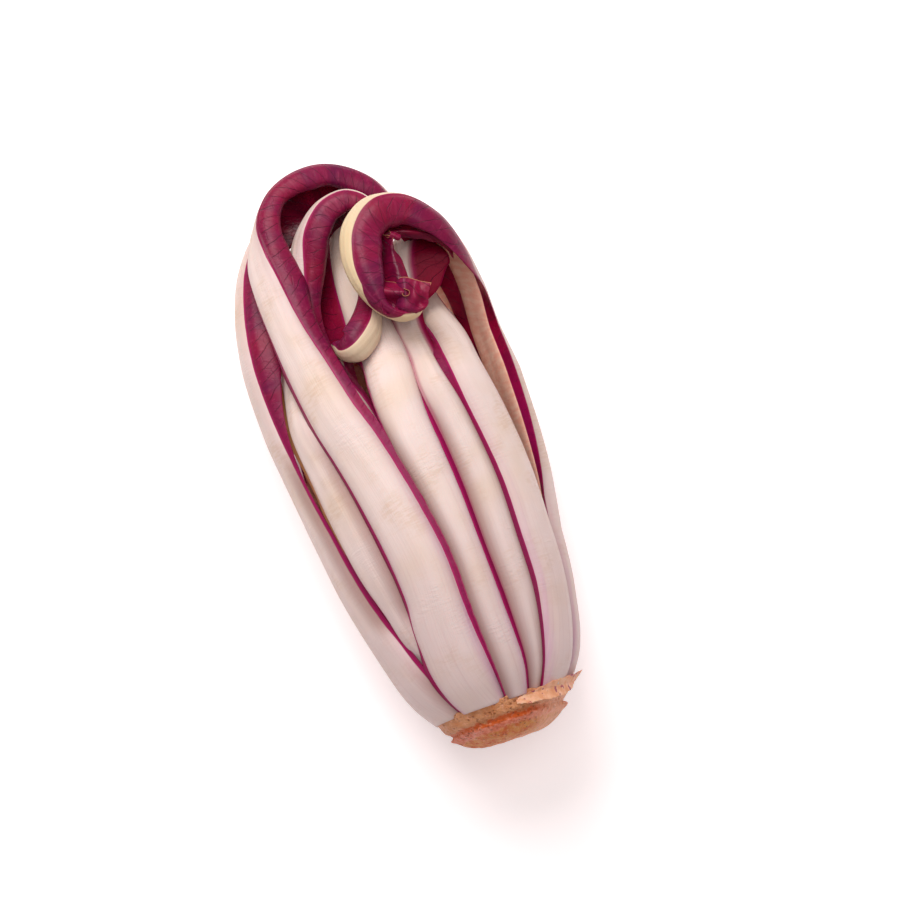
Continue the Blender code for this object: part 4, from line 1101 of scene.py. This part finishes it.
PEACH_SKIN = srgb(242, 186, 152)
PEACH_SHADE = srgb(224, 152, 110)
PURPLE_SPOT = srgb(150, 54, 92)


def flap_material():
    """Thin tan skin with purple spots."""
    g = Graph("flap_skin_look")
    place = g.vector(g.value("run"), g.value("height"))
    cloud = g.noise(place, 0.4, 4.0)
    colour = g.mix(cloud.spread(0.35, 0.65), PEACH_SKIN, PEACH_SHADE)
    spots = g.noise(place, 0.36, 2.0).spread(0.58, 0.62)
    return g.finish(
        Base_Color=g.mix(spots * 0.85, colour, PURPLE_SPOT), Roughness=0.5,
        Normal=g.bump(g.noise(place, 1.5, 4.0), 0.4, 0.0003), Specular_IOR_Level=0.3,
        Subsurface_Weight=0.3, Subsurface_Scale=0.001)


# ---- putting it together

# For chosen rows of a leaf: share of the rib's bulge, how far the left and right blades roll
# under (degrees), how far their colour creeps onto the rib (mm), and the height of the folds.
FOLDS = {
    "outer_leaf_left": (
        (0, *PLAIN), (5, *PLAIN), (7, 1, 0, 20, 0, 0.2, 0.4), (15, 0.6, 60, 60, 0.5, 0.5, 0.8)),
    "outer_leaf_front": (
        (0, *PLAIN), (6, *PLAIN), (8, 1, 0, 40, 0, 0.2, 0.2), (9, 0.9, 0, 60, 0, 0.6, 0.3),
        (10, 0.6, 0, 80, 0, 1, 0.4), (11, 0.4, 0, 85, 0, 1.6, 0.5), (12, 0.35, 0, 85, 0, 2.2, 0.5),
        (14, 0.35, 0, 80, 0, 2.6, 0.6), (16, 0.35, 0, 70, 0, 2.4, 0.8), (19, 0.5, 40, 60, 0, 2, 1)),
    "looped_leaf": (
        (0, *PLAIN), (5, *PLAIN), (7, 0.9, 0, 60, 0, 0.2, 0.3), (8, 0.6, 0, 85, 0, 0.4, 0.4),
        (9, 0.4, 0, 90, 0, 0.5, 0.4), (12, 0.4, 0, 85, 0, 0.6, 0.5), (15, 0.8, 0, 60, 0, 0.2, 0.5),
        (18, 1, 0, 30, 0, 0.2, 0.6), (19, 0.8, 0, 30, 0, 0.3, 0.6)),
    "outer_leaf_right_hook": (
        (0, *PLAIN), (3, *PLAIN), (4, 1.5, 0, 0, 0, 0, 0.15), (5, 1.75, 0, 0, 0, 0, 0.15),
        (6, 1.95, 0, 0, 0, 0, 0.15), (7, 1.6, 0, 0, 0, 0, 0.2), (9, 0.9, 20, 0, 0.4, 0, 0.3),
        (10, 0.5, 60, 0, 1.2, 0, 0.5), (11, 0.5, 80, 0, 0.8, 0, 0.6), (12, 0.7, 80, 0, 0.2, 0, 0.6),
        (13, 0.9, 75, 30, 0, 0, 0.5), (14, 1, 70, 40, 0, 0, 0.5), (15, 0.9, 60, 40, 0.5, 0, 0.6),
        (15.6, 0.8, 50, 40, 4, 0, 0.8), (16.3, 0.8, 45, 40, 4, 0, 0.8), (16.8, 0.9, 40, 40, 0, 0, 1),
        (19, 0.7, 20, 20, 0, 0, 1.2)),
}

# How straw-coloured the rib gets toward the tip: most leaves only a little.
LITTLE_STRAW = 0.12
STRAWS = {"outer_leaf_right_hook": 0.85, "looped_leaf": 0.6}
# How gradually the rib turns into blade, in mm.
SOFT_BORDERS = {"front_leaf_right": 1.2}
# Leaves whose left blade is tan where it shows beside the next rib.
TAN_STRIPS = {"under_leaf_left": 0.85}
# How far a blade turns from purple to deep crimson: on the right front leaf partly its own crimson and
# partly painted shade under the hooked leaf, on the middle front leaf painted shade where the hooked leaf
# shades it.
CRIMSON_AND_SHADE_SHARES = {"front_leaf_right": 0.9, "front_leaf_middle": 0.6}

# Ribs that lie side by side, seen from outside with the tip up: left one, right one, which of
# the two lies on top, width of the line left between them, the most that each edge moves out,
# and where that starts and ends.
NEIGHBOURS = (
    ("outer_leaf_left_low", "outer_leaf_left", "right", 1.6, 1.2, 0, 100),
    ("outer_leaf_left", "outer_leaf_front", "right", 1.6, 1.2, 0, 40),
    ("outer_leaf_left", "under_leaf_left", "right", 2.2, 1.2, 38, 118),
    ("under_leaf_left", "outer_leaf_front", "right", 1.8, 1.2, 38, 118),
    ("outer_leaf_front", "front_leaf_middle", "left", 2, 1.2, 0, 118),
    ("front_leaf_middle", "front_leaf_right", "left", 1.7, 1, 0, 118),
    ("front_leaf_right", "outer_leaf_right_front", "right", 1.7, 1.2, 0, 118),
    ("outer_leaf_right_front", "outer_leaf_right_hook", "right", 1.5, 1, 0, 66),
    ("outer_leaf_right_hook", "back_leaf_right", "left", 1.2, 1.6, 0, 110),
    ("back_leaf_right", "back_leaf_middle_right", "right", 1.2, 2, 0, 130),
    ("back_leaf_middle_right", "back_leaf_middle_left", "left", 1.2, 2, 0, 130),
    ("back_leaf_middle_left", "back_leaf_left", "right", 1.2, 2, 0, 130),
    ("back_leaf_left", "outer_leaf_left_low", "right", 1.2, 1.8, 0, 110),
)


def add_leaves():
    """Every leaf replaces its CAD node."""
    leaves = {name: Leaf(name, rows, SHOWN_STATIONS) for name, rows in SHOWN.items()}
    for name, row in HIDDEN.items():
        leaves[name] = Leaf(name, hidden_rows(*row), HIDDEN_STATIONS)
    press_together(leaves)
    for seed, (name, leaf) in enumerate(leaves.items(), start=1):
        straw, soft = STRAWS.get(name, LITTLE_STRAW), SOFT_BORDERS.get(name, 0.0)
        crimson_and_shade, tan = CRIMSON_AND_SHADE_SHARES.get(name, 0.0), TAN_STRIPS.get(name, 0.0)
        made = leaf_material(name + "_look", seed, straw, soft, crimson_and_shade, tan)
        add_piece(name + "_leaf", name, name + "_skin", leaf_surface(leaf, 100 * seed), made)


def add_root():
    """The trimmed root and the torn skin on its collar."""
    add_piece("trimmed_root_look", "trimmed_root", "root_skin", root_surface(), root_material())
    add_piece("collar_flap_look", "collar_flap", "flap_skin", flap_surface(), flap_material())


FLOOR_SIZE = 6.0
FLOOR_GLOW = 0.32


def add_floor():
    """A plain pale floor."""
    bpy.ops.mesh.primitive_plane_add(size=FLOOR_SIZE, location=(0, 0, 0))
    floor = bpy.context.object
    floor.name = "floor"
    made = bpy.data.materials.new("floor_paint")
    made.use_nodes = True
    shader = made.node_tree.nodes["Principled BSDF"]
    shader.inputs["Base Color"].default_value = (0.98, 0.9, 0.9, 1)
    shader.inputs["Roughness"].default_value = 0.9
    shader.inputs["Emission Color"].default_value = (1, 1, 1, 1)
    shader.inputs["Emission Strength"].default_value = FLOOR_GLOW
    floor.data.materials.append(made)


def add_light(name, location, target, size, power, colour=(1, 1, 1)):
    """A soft square light aimed at a point."""
    lamp = bpy.data.lights.new(name, "AREA")
    lamp.energy = power
    lamp.size = size
    lamp.color = colour
    holder = bpy.data.objects.new(name, lamp)
    holder.location = location
    aim = Vector(target) - Vector(location)
    holder.rotation_euler = aim.to_track_quat("-Z", "Y").to_euler()
    bpy.context.scene.collection.objects.link(holder)


def add_lights():
    """Large soft lights above, and a bright even surround."""
    world = bpy.data.worlds.new("studio")
    bpy.context.scene.world = world
    world.use_nodes = True
    background = world.node_tree.nodes["Background"]
    background.inputs[0].default_value = (1.0, 0.92, 0.93, 1)
    background.inputs[1].default_value = 0.3
    add_light("key", (-0.03, 0.5, 0.66), (0, 0.01, 0.03), size=0.5, power=5.2, colour=(1, 1, 0.99))
    add_light("fill", (0.14, -0.06, 1.1), (0, 0, 0.03), size=0.6, power=3.6)


CAMERA_RISE = math.radians(80.0)    # above the horizon, looking from the root side
CAMERA_ROLL = math.radians(18.5)    # the head leans to the left in the picture
CAMERA_FAR = 0.70125
CAMERA_LENS = 85.0
SENSOR_WIDTH = 36.0
AIM_HEIGHT = 0.0335         # the picture's middle lies at this height over the floor's middle,
AIM_RIGHT = 0.0152          # and this far to the right
AIM_UP = 0.001              # and up in the picture


def add_camera():
    """Looks down on the head from just past its root."""
    back = Vector((0, -math.cos(CAMERA_RISE), math.sin(CAMERA_RISE)))
    level = Vector((1, 0, 0))
    rise = Vector((0, math.sin(CAMERA_RISE), math.cos(CAMERA_RISE)))
    right = level * math.cos(CAMERA_ROLL) - rise * math.sin(CAMERA_ROLL)
    up = level * math.sin(CAMERA_ROLL) + rise * math.cos(CAMERA_ROLL)
    target = Vector((0, 0, AIM_HEIGHT)) + right * AIM_RIGHT + up * AIM_UP
    data = bpy.data.cameras.new("camera")
    data.lens = CAMERA_LENS
    data.sensor_width = SENSOR_WIDTH
    holder = bpy.data.objects.new("camera", data)
    bpy.context.scene.collection.objects.link(holder)
    spot = target + back * CAMERA_FAR
    holder.matrix_world = Matrix((
        (right.x, up.x, back.x, spot.x), (right.y, up.y, back.y, spot.y),
        (right.z, up.z, back.z, spot.z), (0, 0, 0, 1)))
    bpy.context.scene.camera = holder


add_leaves()
add_frills()
add_root()
add_floor()
add_lights()
add_camera()
bpy.context.scene.view_settings.view_transform = "Standard"
